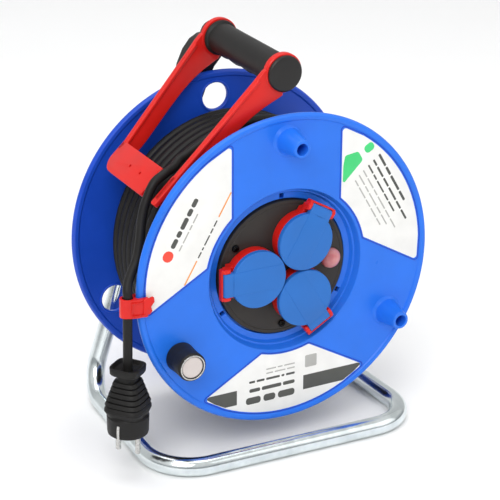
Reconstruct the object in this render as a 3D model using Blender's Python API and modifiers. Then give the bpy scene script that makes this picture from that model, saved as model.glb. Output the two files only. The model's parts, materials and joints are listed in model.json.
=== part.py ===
"""Extension cord reel: a drum of cord with three lidded sockets on a bent tube frame.

Frame: metres, +Z up, front of the drum towards -Y, +X to the right seen from the front.
The origin lies on the floor, in the middle of the frame's footprint.
Depths below are measured back from the front rim's foremost ring, which is at RIM_Y.
"""
import math

import bmesh
import bpy
from mathutils import Matrix, Vector

# ---------------------------------------------------------------- driving sizes
GAP = 0.0003                    # between pieces that touch

# tube frame
TUBE_RADIUS = 0.0085
FRONT_BAR_FORWARD = 0.0236      # front bar's centre line ahead of the rim
SIDE_BAR_HALF_SPREAD = 0.1295   # side bars at the front corners
FOOT_HALF_SPREAD = 0.1205       # feet of the uprights
FRONT_CORNER_RADIUS = 0.042
FOOT_BEND_RADIUS = 0.034
KNEE_BEND_RADIUS = 0.20
KNEE_HALF_SPREAD = 0.0865       # a slight bend in each upright
KNEE_HEIGHT = 0.1185
UPRIGHT_TOP_X = -0.0077         # the left upright's top, under the grip
UPRIGHT_TOP = 0.320
SHORT_UPRIGHT_TOP = 0.197       # the right upright stops above the axle carrier

# drum
DRUM_AXIS_HEIGHT = 0.1691
DRUM_RADIUS = 0.145
DRUM_TURN = -1.0                # degrees, rest position of the drum
RIM_WIDTH = 0.007
RIM_DEPTH = 0.007
RIM_ROUND = 0.0020
DRUM_SIDES = 36
FLANGE_FACE = 0.0016            # depth of the front flange's face
FLANGE_WALL = 0.0036
LABEL_RECESS = 0.0008
LABEL_INNER_RADIUS = 0.079
LABEL_RIM_MARGIN = 0.0075       # from the labels' outer edge to the rim's outside
LABEL_CORNER = 0.006
SPOKE_ANGLES = (0.0, 120.0, 240.0)
SCREW_ANGLES = (60.0, 180.0, 300.0)   # midway between the spokes, like the labels
SPOKE_HALF_WIDTH = 0.053
BARREL_RADIUS = 0.0675
BARREL_WALL = 0.003
HUB_LIP_RADIUS = 0.0731
HUB_LIP_DEPTH = 0.0081
HUB_LIP_WALL = 0.0015
HUB_SKIRT = 0.0027              # how far the hub's wall flares out to the flange
LEDGE_RADIUS = 0.0698
LEDGE_DEPTH = 0.0118
SHELF_RADIUS = 0.0580           # the shelf that carries the panel's edge
SHELF_WALL = 0.0025
LUG_RADIUS = 0.0048
REAR_FLANGE_DEPTH = 0.1396      # front face of the rear flange's plate
REAR_FLANGE_WALL = 0.003
REAR_RIM_FORWARD = 0.0011       # the rear rim stands this far ahead of its plate
REAR_HOLE_RADIUS = 0.0128
REAR_HOLE_INSET = 0.0245        # from the holes' centres to the rim's outside
PEG_INSET = 0.0241              # from the pegs' and the crank's centres to the rim's outside
PEG_HEIGHT = 0.0243             # reach of pegs and crank knob ahead of the rim
PEG_BASE_RADIUS = 0.0118
PEG_TIP_RADIUS = 0.0078
PEG_BORE_RADIUS = 0.0053
LEDGE_HOLE = 0.0045             # square holes in the ledge
DRUM_SCREW_CIRCLE = 0.0605

# socket panel
PANEL_RADIUS = 0.0627
PANEL_FRONT = 0.0094
PANEL_WALL = 0.0062
PANEL_SCREW_CIRCLE = 0.0538
SOCKET_CIRCLE = 0.0309
SOCKET_ANGLES = (270.0, 30.0, 150.0)
SOCKET_RING_RADIUS = 0.0258
SOCKET_RING_WALL = 0.0033
SOCKET_FRONT = -0.0012          # front edge of the red socket rings
WELL_RADIUS = 0.0196
WELL_DEPTH = 0.0175
PIN_SPACING = 0.019
LID_RADIUS = 0.0264
LID_THICKNESS = 0.0051
LID_TAB_WIDTH = 0.022
HINGE_CIRCLE = 0.0615
HINGE_PIN_RADIUS = 0.0015
CHEEK_WALL = 0.0032
BUTTON_CIRCLE = 0.049
BUTTON_ANGLE = 90.0
BUTTON_RADIUS = 0.0093
BUTTON_HEIGHT = 0.0066
BUTTON_TRAVEL = 0.002
BUTTON_STEM_RADIUS = 0.0046

# crank
PEG_ANGLES = (0.0, 120.0)
CRANK_ANGLE = 240.0
KNOB_BASE_RADIUS = 0.0136
KNOB_END_RADIUS = 0.0131
KNOB_BADGE_RADIUS = 0.0098
CRANK_PIN_RADIUS = 0.004

# axle
AXLE_RADIUS = 0.008
HUB_RADIUS = 0.016
REAR_HUB_LENGTH = 0.0296        # how far the rear hub reaches ahead of its flange
REAR_HUB_REACH = 0.0058         # and how far it stands out behind the flange's plate
HUB_RIB_RADIUS = 0.0530
AXLE_END_REACH = 0.008          # the axle's thin end, ahead of the rear hub
CARRIER_WALL = 0.004
CARRIER_HALF_HEIGHT = 0.011
CARRIER_EYE_RADIUS = 0.021      # the carrier widens round the axle

# grip and cable guide
GRIP_ABOVE_DRUM = 0.1769
GRIP_RADIUS = 0.0140
GRIP_WAVE = 0.0011
GRIP_CORE_RADIUS = 0.010
GRIP_CORE_WALL = 0.0015
CAP_RADIUS = 0.016
CAP_FRONT = 0.0114
CAP_WALL = 0.0036
CAP_SPIGOT = 0.010              # reach of the cap into the grip's bar
EYE_RADIUS = 0.0176
EYE_WALL = 0.006
SPIGOT_RADIUS = 0.0124
SPIGOT_REACH = 0.008
COLLAR_RADIUS = 0.0162
COLLAR_WALL = 0.0032
GUIDE_ANGLE = 45.6              # degrees from hanging straight down
ARM_OUTER = 0.0153              # arm's outer edge, out from the grip's axis
ARM_INNER = -0.0017
ARM_LIP = 0.0014                # the outer edge's lip stands this far ahead of the arm
GUIDE_PLATE_NEAR = 0.128        # plate's edges, measured along the arms
GUIDE_PLATE_FAR = 0.158
GUIDE_PLATE_OUTER = 0.0153
GUIDE_PLATE_WALL = 0.0045
GUIDE_PLATE_FRONT = 0.0410      # the plate's end beside the cord's gap
GUIDE_REAR_INSET = 0.0191       # back of the rear arm at the plate, ahead of the rear flange
GUIDE_CORNER_RADIUS = 0.016

# rear handle bracket: a sleeve over the left upright's top, leaning to the grip
BRACKET_AHEAD = 0.0110          # reach ahead of the uprights' centre plane
BRACKET_BEHIND = 0.0135         # and behind it
BRACKET_OUTLINE = (
    (-0.0395, 0.2700), (-0.0323, 0.2880), (-0.0276, 0.2990), (-0.0240, 0.3140), (-0.0184, 0.3270),
    (-0.0113, 0.3360), (-0.0035, 0.3404), (0.0030, 0.3410), (0.0095, 0.3375), (0.0125, 0.3310),
    (0.0090, 0.3220), (0.0022, 0.3140), (-0.0020, 0.3050), (-0.0085, 0.2880), (-0.0152, 0.2700),
)
BRACKET_SCREW_SHARES = (0.86, 0.93)   # along the upper run of the left upright
GRIP_BOSS_RADIUS = 0.0120
GRIP_BOSS_LENGTH = 0.0087
GRIP_BOSS_ROOT = 0.0015         # how deep the boss runs into the bracket

# cord
CORD_RADIUS = 0.00415
WINDING_RADIUS = 0.1130         # outside of the cord's outer layer
WINDING_STEPS = 24              # points per turn
WINDING_PITCH = 0.0095
WINDING_FRONT = 0.0112          # depth of the front turn
CORE_END_PLAY = 0.0012          # the inner layers stop short of the flanges
STRAND_SPACE = 0.0088           # between the centres of strands that lie on each other
CLIMB_TURN = 180.0              # degrees over which the cord climbs onto its last layer
CROSSING_TURN = 300.0           # degrees from there back across the drum to the tip
CROSSING_DEPTH = 0.066
RETURN_TURN = 60.0              # last degrees, over which the crossing comes forward again
LIFT_TURN = 75.0                # last degrees, over which the tip lifts off
TIP_ANGLE = -32.5               # where the last straight begins
TIP_RADIUS = 0.1260
TIP_DEPTH = 0.051
CORD_ROUTE = (                  # angle round the drum's axis, radius, depth
    (-43.4, 0.1335, 0.0415),
    (-47.2, 0.1403, 0.0345),
    (-52.0, 0.1455, 0.0312),
    (-58.0, 0.1445, 0.0292),
    (-64.0, 0.1425, 0.0265),
    (-71.5, 0.1400, 0.0208),
    (-78.0, 0.1405, 0.0170),
    (-82.2, 0.1452, 0.0132),
    (-85.2, 0.1498, 0.0088),
    (-87.3, 0.1517, 0.0057),
)

# plug and cord clip
PLUG_X = -0.1518
PLUG_DEPTH = 0.0045
PLUG_TURN = -52.0               # earth contact turned to the left of the front
PLUG_FACE_HEIGHT = 0.0425
PLUG_FACE_RADIUS = 0.0180
PLUG_WIDEST_RADIUS = 0.0205
PLUG_NECK_RADIUS = 0.0122
PLUG_RIBS = 8
PLUG_COLLAR_RADIUS = 0.0156
PLUG_COLLAR_TOP = 0.1165
PLUG_COLLAR_END = 0.0945
PLUG_CUP_DEPTH = 0.0150
PLUG_BASE_TOP = 0.0600
PLUG_PIN_RADIUS = 0.0024
PLUG_PIN_LENGTH = 0.019
CLIP_HEIGHT = 0.017
CLIP_MIDDLE = 0.1615            # height of the clip's middle above the floor
CLIP_CORD_PLAY = 0.0008         # the clip's ring is an easy fit round the cord
CLIP_REACH = 0.1357             # clip's front jaw ends at this radius

# fixings
SCREW_HEAD_RADIUS = 0.0034
SCREW_HEAD_HEIGHT = 0.0022
SCREW_SHANK_RADIUS = 0.0016
BOLT_RADIUS = 0.0025
BOLT_HEAD_RADIUS = 0.0048
BOLT_HEAD_HEIGHT = 0.0028

# ---------------------------------------------------------------- derived places
LABEL_OUTER_RADIUS = DRUM_RADIUS - LABEL_RIM_MARGIN
REAR_HOLE_CIRCLE = DRUM_RADIUS - REAR_HOLE_INSET
PEG_CIRCLE = DRUM_RADIUS - PEG_INSET
BARREL_BACK = REAR_FLANGE_DEPTH - GAP
REAR_PLATE_BACK = REAR_FLANGE_DEPTH + REAR_FLANGE_WALL
HUB_FRONT = REAR_FLANGE_DEPTH - REAR_HUB_LENGTH
CARRIER_FRONT = REAR_PLATE_BACK + REAR_HUB_REACH + GAP
UPRIGHT_DEPTH = CARRIER_FRONT + CARRIER_WALL + GAP + TUBE_RADIUS
BRACKET_FRONT = UPRIGHT_DEPTH - BRACKET_AHEAD
BRACKET_BACK = UPRIGHT_DEPTH + BRACKET_BEHIND
GRIP_BOSS_FRONT = BRACKET_FRONT - GRIP_BOSS_LENGTH
EYE_REAR_DEPTH = GRIP_BOSS_FRONT - GAP - EYE_WALL
COLLAR_FRONT = EYE_REAR_DEPTH - GAP - COLLAR_WALL
GUIDE_REAR_FACE = REAR_FLANGE_DEPTH - GUIDE_REAR_INSET
WINDING_TURNS = int((REAR_FLANGE_DEPTH - WINDING_FRONT - 3.0 * CORD_RADIUS) / WINDING_PITCH)
FRONT_REACH = -(FRONT_BAR_FORWARD + TUBE_RADIUS)
BACK_REACH = BRACKET_BACK
RIM_Y = -(FRONT_REACH + BACK_REACH) / 2.0
GRIP_HEIGHT = DRUM_AXIS_HEIGHT + GRIP_ABOVE_DRUM
LID_BACK = SOCKET_FRONT - GAP
LID_FRONT = LID_BACK - LID_THICKNESS
KNUCKLE_RADIUS = 0.0034
HINGE_DEPTH = LID_FRONT + KNUCKLE_RADIUS
PANEL_BACK = PANEL_FRONT + PANEL_WALL
SHELF_FRONT = PANEL_BACK + GAP
SHELF_BACK = SHELF_FRONT + SHELF_WALL
FLANGE_BACK = FLANGE_FACE + FLANGE_WALL
LEDGE_BACK = LEDGE_DEPTH + BARREL_WALL
PANEL_POCKET_RADIUS = PANEL_RADIUS + 0.0016
STRAND_RADIUS = WINDING_RADIUS - CORD_RADIUS
EYE_FRONT_DEPTH = CAP_FRONT + CAP_WALL + GAP

PARTS = None
CUTTERS = None


# ---------------------------------------------------------------- scene helpers
def clear_scene():
    for old in list(bpy.data.objects):
        bpy.data.objects.remove(old, do_unlink=True)


def make_collections():
    global PARTS, CUTTERS
    PARTS = bpy.data.collections.new("extension_cord_reel")
    CUTTERS = bpy.data.collections.new("cutters")
    bpy.context.scene.collection.children.link(PARTS)
    bpy.context.scene.collection.children.link(CUTTERS)


def material(name, colour, roughness, metallic=0.0):
    found = bpy.data.materials.get(name)
    if found:
        return found
    made = bpy.data.materials.new(name)
    made.use_nodes = True
    shader = made.node_tree.nodes["Principled BSDF"]
    shader.inputs["Base Color"].default_value = (*colour, 1.0)
    shader.inputs["Roughness"].default_value = roughness
    shader.inputs["Metallic"].default_value = metallic
    made.diffuse_color = (*colour, 1.0)
    return made


def front_blue():
    return material("front_blue_plastic", (0.045, 0.225, 0.86), 0.35)


def rear_blue():
    return material("rear_blue_plastic", (0.010, 0.055, 0.40), 0.35)


def lid_blue():
    return material("lid_blue_plastic", (0.045, 0.19, 0.61), 0.45)


def red():
    return material("red_plastic", (0.76, 0.030, 0.022), 0.4)


def black():
    return material("black_plastic", (0.025, 0.024, 0.023), 0.5)


def rubber():
    return material("black_rubber", (0.016, 0.015, 0.015), 0.65)


def zinc():
    return material("zinc_steel", (0.62, 0.65, 0.66), 0.3, 1.0)


def steel():
    return material("bright_steel", (0.66, 0.65, 0.63), 0.25, 1.0)


def pink():
    return material("clear_pink_rubber", (0.72, 0.27, 0.28), 0.3)


def pale():
    return material("pale_plastic", (0.78, 0.74, 0.72), 0.4)


def link(obj, mat, parent=None, cutter=False):
    """Put an object in its collection, with its material and parent."""
    (CUTTERS if cutter else PARTS).objects.link(obj)
    if parent is not None:
        obj.parent = parent
    if cutter:
        obj.hide_render = True
        obj.display_type = "WIRE"
    elif mat is not None:
        obj.data.materials.append(mat)
    return obj


def empty(name, location, turn_y=0.0, parent=None):
    """An unseen carrier: location in its parent's frame, turned about +Y in degrees."""
    made = bpy.data.objects.new(name, None)
    made.empty_display_size = 0.01
    made.location = location
    made.rotation_euler = (0.0, math.radians(turn_y), 0.0)
    bpy.context.scene.collection.objects.link(made)
    if parent is not None:
        made.parent = parent
    return made


def mesh_object(name, bm, mat, parent=None, cutter=False, smooth=None):
    mesh = bpy.data.meshes.new(name)
    bmesh.ops.recalc_face_normals(bm, faces=bm.faces)
    bm.to_mesh(mesh)
    bm.free()
    if smooth is not None:
        mesh.shade_smooth()
        mesh.set_sharp_from_angle(angle=math.radians(smooth))
    return link(bpy.data.objects.new(name, mesh), mat, parent, cutter)


def signed_area(outline):
    total = 0.0
    for (ax, az), (bx, bz) in zip(outline, outline[1:] + outline[:1]):
        total += ax * bz - bx * az
    return total / 2.0


def turned(name, outline, steps, mat, parent=None, axis="Y", centre=(0.0, 0.0, 0.0),
           cutter=False, smooth=30.0):
    """A solid of revolution from a closed outline of (radius, depth) pairs.

    The axis runs back along +Y, or up along +Z. The outline turns about it with a Screw,
    and its points run clockwise, so that the outer side is followed from top to bottom.
    """
    points = list(outline)
    if signed_area(points) > 0.0:
        points.reverse()
    on_axis = [i for i, point in enumerate(points) if point[0] < 1e-9]
    closed = True
    if on_axis:
        start = on_axis[-1] if 0 not in on_axis else max(i for i in on_axis if i < len(points) // 2)
        points = points[start:] + points[:start]
        closed = False
    mesh = bpy.data.meshes.new(name)
    edges = [(i, i + 1) for i in range(len(points) - 1)]
    if closed:
        edges.append((len(points) - 1, 0))
    mesh.from_pydata([(r, 0.0, d) for r, d in points], edges, [])
    obj = link(bpy.data.objects.new(name, mesh), mat, parent, cutter)
    obj.location = centre
    if axis == "Y":
        obj.rotation_euler = (math.radians(-90.0), 0.0, 0.0)
    screw = obj.modifiers.new("turn", "SCREW")
    screw.steps = steps
    screw.render_steps = steps
    screw.use_merge_vertices = True
    screw.merge_threshold = 1e-6
    screw.use_smooth_shade = smooth is not None
    return obj


def cylinder(name, radius, start, end, mat, parent=None, axis="Y", centre=(0.0, 0.0),
             sides=20, cutter=False, turn=0.0):
    """A round bar from start to end along Y or Z; centre gives the other two coordinates."""
    bm = bmesh.new()
    bmesh.ops.create_cone(bm, cap_ends=True, segments=sides, radius1=radius, radius2=radius,
                          depth=end - start)
    bmesh.ops.rotate(bm, verts=bm.verts, matrix=Matrix.Rotation(math.radians(turn), 3, "Z"))
    middle = (start + end) / 2.0
    if axis == "Y":
        bmesh.ops.rotate(bm, verts=bm.verts, matrix=Matrix.Rotation(math.radians(-90.0), 3, "X"))
        shift = Vector((centre[0], middle, centre[1]))
    elif axis == "Z":
        shift = Vector((centre[0], centre[1], middle))
    else:
        bmesh.ops.rotate(bm, verts=bm.verts, matrix=Matrix.Rotation(math.radians(90.0), 3, "Y"))
        shift = Vector((middle, centre[0], centre[1]))
    bmesh.ops.translate(bm, verts=bm.verts, vec=shift)
    return mesh_object(name, bm, mat, parent, cutter, smooth=40.0)


def box(name, low, high, mat, parent=None, cutter=False):
    bm = bmesh.new()
    bmesh.ops.create_cube(bm, size=1.0)
    size = Vector(high) - Vector(low)
    bmesh.ops.scale(bm, verts=bm.verts, vec=size)
    bmesh.ops.translate(bm, verts=bm.verts, vec=(Vector(high) + Vector(low)) / 2.0)
    return mesh_object(name, bm, mat, parent, cutter)


def plate(name, outline, start, end, mat, parent=None, cutter=False, plane="XZ"):
    """A flat closed outline given a thickness: an XZ outline runs from depth start to end,
    an XY outline from height start to end."""
    curve = bpy.data.curves.new(name, "CURVE")
    curve.dimensions = "2D"
    curve.fill_mode = "BOTH"
    curve.extrude = (end - start) / 2.0
    spline = curve.splines.new("POLY")
    spline.points.add(len(outline) - 1)
    for point, (u, v) in zip(spline.points, outline):
        point.co = (u, v, 0.0, 1.0)
    spline.use_cyclic_u = True
    obj = bpy.data.objects.new(name, curve)
    bpy.context.scene.collection.objects.link(obj)
    middle = (start + end) / 2.0
    if plane == "XZ":
        turn = Matrix.Rotation(math.radians(90.0), 4, "X")
        shift = Matrix.Translation((0.0, middle, 0.0))
    else:
        turn = Matrix.Identity(4)
        shift = Matrix.Translation((0.0, 0.0, middle))
    return curve_to_mesh(obj, name, mat, shift @ turn, parent, cutter)


def curve_to_mesh(obj, name, mat, matrix=Matrix.Identity(4), parent=None, cutter=False):
    """Change a curve object into a mesh whose loose caps are welded."""
    bpy.context.view_layer.update()
    graph = bpy.context.evaluated_depsgraph_get()
    mesh = bpy.data.meshes.new_from_object(obj.evaluated_get(graph))
    bm = bmesh.new()
    bm.from_mesh(mesh)
    bmesh.ops.remove_doubles(bm, verts=bm.verts, dist=1e-6)
    bmesh.ops.dissolve_limit(bm, angle_limit=math.radians(0.4), verts=[], edges=bm.edges)
    bmesh.ops.transform(bm, matrix=matrix, verts=bm.verts)
    bpy.data.objects.remove(obj, do_unlink=True)
    bpy.data.meshes.remove(mesh)
    return mesh_object(name, bm, mat, parent, cutter, smooth=40.0)


def tube(name, points, radius, mat, parent=None, resolution=2, cutter=False):
    """A round bar along a list of points, with closed ends."""
    curve = bpy.data.curves.new(name, "CURVE")
    curve.dimensions = "3D"
    curve.twist_mode = "MINIMUM"
    curve.bevel_depth = radius
    curve.bevel_resolution = resolution
    curve.use_fill_caps = True
    spline = curve.splines.new("POLY")
    spline.points.add(len(points) - 1)
    for point, place in zip(spline.points, points):
        point.co = (*place, 1.0)
    obj = bpy.data.objects.new(name, curve)
    bpy.context.scene.collection.objects.link(obj)
    return curve_to_mesh(obj, name, mat, Matrix.Identity(4), parent, cutter)


def boolean(target, other, operation):
    mod = target.modifiers.new(operation.lower(), "BOOLEAN")
    mod.operation = operation
    mod.object = other
    mod.solver = "EXACT"
    return mod


def cut(target, *cutters):
    for cutter in cutters:
        boolean(target, cutter, "DIFFERENCE")


def join(target, *others):
    for other in others:
        boolean(target, other, "UNION")


def arc(centre, radius, start, end, count):
    """Points on a circle from start to end degrees, counted from +X towards +Z."""
    found = []
    for i in range(count + 1):
        angle = math.radians(start + (end - start) * i / count)
        found.append((centre[0] + radius * math.cos(angle), centre[1] + radius * math.sin(angle)))
    return found


def polar(radius, angle, depth=0.0):
    """A place in the drum's frame: angle in degrees clockwise from the top, seen from the front."""
    turn = math.radians(angle)
    return Vector((radius * math.sin(turn), depth, radius * math.cos(turn)))


def rounded_path(corners, bends):
    """The corners of a bent bar joined by straight runs and by arcs, given as (radius, steps)."""
    path = [Vector(corners[0])]
    for before, corner, after, (radius, steps) in zip(corners, corners[1:], corners[2:], bends):
        corner = Vector(corner)
        back = (Vector(before) - corner).normalized()
        ahead = (Vector(after) - corner).normalized()
        half = back.angle(ahead) / 2.0
        reach = radius / math.tan(half)
        middle = corner + (back + ahead).normalized() * (radius / math.sin(half))
        first = corner + back * reach
        last = corner + ahead * reach
        for i in range(steps + 1):
            chord = first.lerp(last, i / steps)
            path.append(middle + (chord - middle).normalized() * radius)
    path.append(Vector(corners[-1]))
    return path


def smooth_route(points, spacing):
    """A Catmull-Rom curve through the route's points, read at an even spacing."""
    dense = []
    ends = [points[0] * 2.0 - points[1]] + points + [points[-1] * 2.0 - points[-2]]
    for a, b, c, d in zip(ends, ends[1:], ends[2:], ends[3:]):
        for i in range(24):
            t = i / 24.0
            dense.append(0.5 * ((2.0 * b) + (c - a) * t + (2.0 * a - 5.0 * b + 4.0 * c - d) * t * t
                                + (3.0 * b - a - 3.0 * c + d) * t ** 3))
    dense.append(points[-1])
    lengths = [0.0]
    for a, b in zip(dense, dense[1:]):
        lengths.append(lengths[-1] + (b - a).length)
    count = max(2, round(lengths[-1] / spacing))
    read = []
    j = 0
    for i in range(count + 1):
        want = lengths[-1] * i / count
        while j < len(lengths) - 2 and lengths[j + 1] < want:
            j += 1
        span = lengths[j + 1] - lengths[j]
        share = 0.0 if span == 0.0 else (want - lengths[j]) / span
        read.append(dense[j].lerp(dense[j + 1], share))
    return read, lengths[-1]


# ---------------------------------------------------------------- tube frame
def upright_line(share):
    """A place on the left upright's upper run, between its knee and its top."""
    knee = Vector((-KNEE_HALF_SPREAD, UPRIGHT_DEPTH, KNEE_HEIGHT))
    top = Vector((UPRIGHT_TOP_X, UPRIGHT_DEPTH, UPRIGHT_TOP))
    return knee.lerp(top, share)


def build_frame(stand):
    floor = TUBE_RADIUS
    lean = (UPRIGHT_TOP_X + KNEE_HALF_SPREAD) / (UPRIGHT_TOP - KNEE_HEIGHT)
    short_x = KNEE_HALF_SPREAD - lean * (SHORT_UPRIGHT_TOP - KNEE_HEIGHT)
    corners = [
        (UPRIGHT_TOP_X, UPRIGHT_DEPTH, UPRIGHT_TOP),
        (-KNEE_HALF_SPREAD, UPRIGHT_DEPTH, KNEE_HEIGHT),
        (-FOOT_HALF_SPREAD, UPRIGHT_DEPTH, floor),
        (-SIDE_BAR_HALF_SPREAD, -FRONT_BAR_FORWARD, floor),
        (SIDE_BAR_HALF_SPREAD, -FRONT_BAR_FORWARD, floor),
        (FOOT_HALF_SPREAD, UPRIGHT_DEPTH, floor),
        (KNEE_HALF_SPREAD, UPRIGHT_DEPTH, KNEE_HEIGHT),
        (short_x, UPRIGHT_DEPTH, SHORT_UPRIGHT_TOP),
    ]
    half_bends = [(KNEE_BEND_RADIUS, 2), (FOOT_BEND_RADIUS, 5), (FRONT_CORNER_RADIUS, 5)]
    path = rounded_path(corners, half_bends + half_bends[::-1])
    frame = tube("tube_frame", path, TUBE_RADIUS, zinc(), stand, 3)

    carrier_x = KNEE_HALF_SPREAD - lean * (DRUM_AXIS_HEIGHT - KNEE_HEIGHT)
    carrier_back = CARRIER_FRONT + CARRIER_WALL
    half = carrier_x + 0.012
    above = DRUM_AXIS_HEIGHT + CARRIER_HALF_HEIGHT
    below = DRUM_AXIS_HEIGHT - CARRIER_HALF_HEIGHT
    outline = (arc((0.0, DRUM_AXIS_HEIGHT), CARRIER_EYE_RADIUS, 150.0, 30.0, 6) + [(half, above), (half, below)]
               + arc((0.0, DRUM_AXIS_HEIGHT), CARRIER_EYE_RADIUS, -30.0, -150.0, 6)
               + [(-half, below), (-half, above)])
    carrier = plate("axle_carrier", outline, CARRIER_FRONT, carrier_back, black_steel(), stand)
    axle_bore = cylinder("carrier_axle_bore", AXLE_RADIUS + GAP, CARRIER_FRONT - 0.002,
                         carrier_back + 0.002, None, stand, centre=(0.0, DRUM_AXIS_HEIGHT),
                         cutter=True, turn=3.7)
    cut(carrier, axle_bore)
    tube_back = UPRIGHT_DEPTH + TUBE_RADIUS
    for side in (-1.0, 1.0):
        centre = (side * carrier_x, DRUM_AXIS_HEIGHT)
        hole = cylinder("bolt_hole", BOLT_RADIUS + GAP, CARRIER_FRONT - 0.003, tube_back + 0.003,
                        None, stand, centre=centre, sides=10, cutter=True, turn=5.3)
        cut(carrier, hole)
        cut(frame, hole)
        # the nut's flat faces need a flat seat on the tube
        seat = cylinder("nut_seat", BOLT_HEAD_RADIUS + 0.001, tube_back - 0.0012, tube_back + 0.004,
                        None, stand, centre=centre, sides=12, cutter=True)
        cut(frame, seat)
        number = 1 if side < 0.0 else 2
        head = CARRIER_FRONT - GAP
        bolt_end = tube_back + 0.0022
        turned("carrier_bolt_%d" % number, [
            (0.0, head - BOLT_HEAD_HEIGHT), (BOLT_HEAD_RADIUS, head - BOLT_HEAD_HEIGHT),
            (BOLT_HEAD_RADIUS, head), (BOLT_RADIUS, head), (BOLT_RADIUS, bolt_end), (0.0, bolt_end),
        ], 8, steel(), stand, centre=(centre[0], 0.0, centre[1]))
        seat_depth = tube_back - 0.0012 + GAP
        nut = cylinder("carrier_nut_%d" % number, BOLT_HEAD_RADIUS, seat_depth, seat_depth + 0.0030,
                       steel(), stand, centre=centre, sides=6)
        cut(nut, hole)
    cap_end = Vector((short_x, UPRIGHT_DEPTH, SHORT_UPRIGHT_TOP))
    cap_way = (cap_end - Vector((KNEE_HALF_SPREAD, UPRIGHT_DEPTH, KNEE_HEIGHT))).normalized()
    tube("tube_end_cap", [cap_end + cap_way * GAP, cap_end + cap_way * 0.003, cap_end + cap_way * 0.0045],
         TUBE_RADIUS, black(), stand, 2)
    return frame


def black_steel():
    return material("black_painted_steel", (0.03, 0.03, 0.032), 0.45, 0.6)


def round_tool(name, rings, centre, sides, parent):
    """A round cutter or addition along +Y, from (radius, depth) rings in order of depth."""
    outline = [(0.0, rings[0][1])] + list(rings) + [(0.0, rings[-1][1])]
    return turned(name, outline, sides, None, parent, centre=(centre[0], 0.0, centre[1]), cutter=True)


def screw(name, centre, seat, way, length, parent, mat):
    """A pan-head screw along Y. Its head lies beyond its seat in the given way: 1 back, -1 front."""
    outline = [
        (0.0, seat + way * SCREW_HEAD_HEIGHT),
        (SCREW_HEAD_RADIUS - 0.0008, seat + way * SCREW_HEAD_HEIGHT),
        (SCREW_HEAD_RADIUS, seat + way * SCREW_HEAD_HEIGHT * 0.55),
        (SCREW_HEAD_RADIUS, seat),
        (SCREW_SHANK_RADIUS, seat),
        (SCREW_SHANK_RADIUS, seat - way * length),
        (0.0, seat - way * length),
    ]
    return turned(name, outline, 8, mat, parent, centre=(centre[0], 0.0, centre[1]))


# ---------------------------------------------------------------- axle
def build_axle(stand):
    centre = (0.0, 0.0, DRUM_AXIS_HEIGHT)
    back = CARRIER_FRONT + CARRIER_WALL
    shoulder = HUB_FRONT
    turned("axle_pin", [
        (0.0, shoulder - AXLE_END_REACH), (0.0050, shoulder - AXLE_END_REACH), (0.0050, shoulder), (AXLE_RADIUS, shoulder),
        (AXLE_RADIUS, back + GAP), (0.0130, back + GAP), (0.0130, back + 0.0035), (0.0, back + 0.0035),
    ], 16, steel(), stand, centre=centre)
    turned("axle_retainer", [
        (0.0050 + GAP, shoulder - 0.0055), (0.0120, shoulder - 0.0055), (0.0130, shoulder - 0.0045),
        (0.0130, shoulder - GAP), (0.0050 + GAP, shoulder - GAP),
    ], 12, black(), stand, centre=centre)


# ---------------------------------------------------------------- drum
def label_outline(centre_angle):
    """A label's field: two arcs and two straight sides that run along the spokes."""
    inner_half = 60.0 - math.degrees(math.asin(SPOKE_HALF_WIDTH / LABEL_INNER_RADIUS))
    outer_half = 60.0 - math.degrees(math.asin(SPOKE_HALF_WIDTH / LABEL_OUTER_RADIUS))
    trim = math.degrees(LABEL_CORNER / LABEL_OUTER_RADIUS)
    steps = 7
    outer = []
    for i in range(steps):
        outer.append(centre_angle + (outer_half - trim) * (2.0 * i / (steps - 1) - 1.0))
    points = []
    first_out = polar(LABEL_OUTER_RADIUS, centre_angle - outer_half)
    last_out = polar(LABEL_OUTER_RADIUS, centre_angle + outer_half)
    first_in = polar(LABEL_INNER_RADIUS, centre_angle - inner_half)
    last_in = polar(LABEL_INNER_RADIUS, centre_angle + inner_half)
    for angle in outer:
        points.append(polar(LABEL_OUTER_RADIUS, angle))
    side = (last_in - last_out).normalized()
    points += bend(points[-1], last_out, last_out + side * LABEL_CORNER)
    points.append(last_in)
    steps = 4
    for i in range(1, steps):
        points.append(polar(LABEL_INNER_RADIUS, centre_angle + inner_half * (1.0 - 2.0 * i / steps)))
    points.append(first_in)
    side = (first_in - first_out).normalized()
    points += bend(first_out + side * LABEL_CORNER, first_out, points[0])
    return [(p.x, p.z) for p in points]


def bend(a, corner, b):
    """Two places on a curve that rounds a corner between a and b."""
    found = []
    for t in (0.5, 1.0):
        found.append(a * (1 - t) ** 2 + corner * (2 * t * (1 - t)) + b * t * t)
    return found


def rim_bead(start):
    """The rim's cross-section, over its outside from the front to the back, as (radius, depth)."""
    inner = DRUM_RADIUS - RIM_WIDTH + 0.0014
    end = start + RIM_DEPTH
    return [(inner, start), (DRUM_RADIUS - RIM_ROUND, start), (DRUM_RADIUS, (start + end) / 2.0),
            (DRUM_RADIUS - RIM_ROUND, end), (inner, end)]


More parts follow.
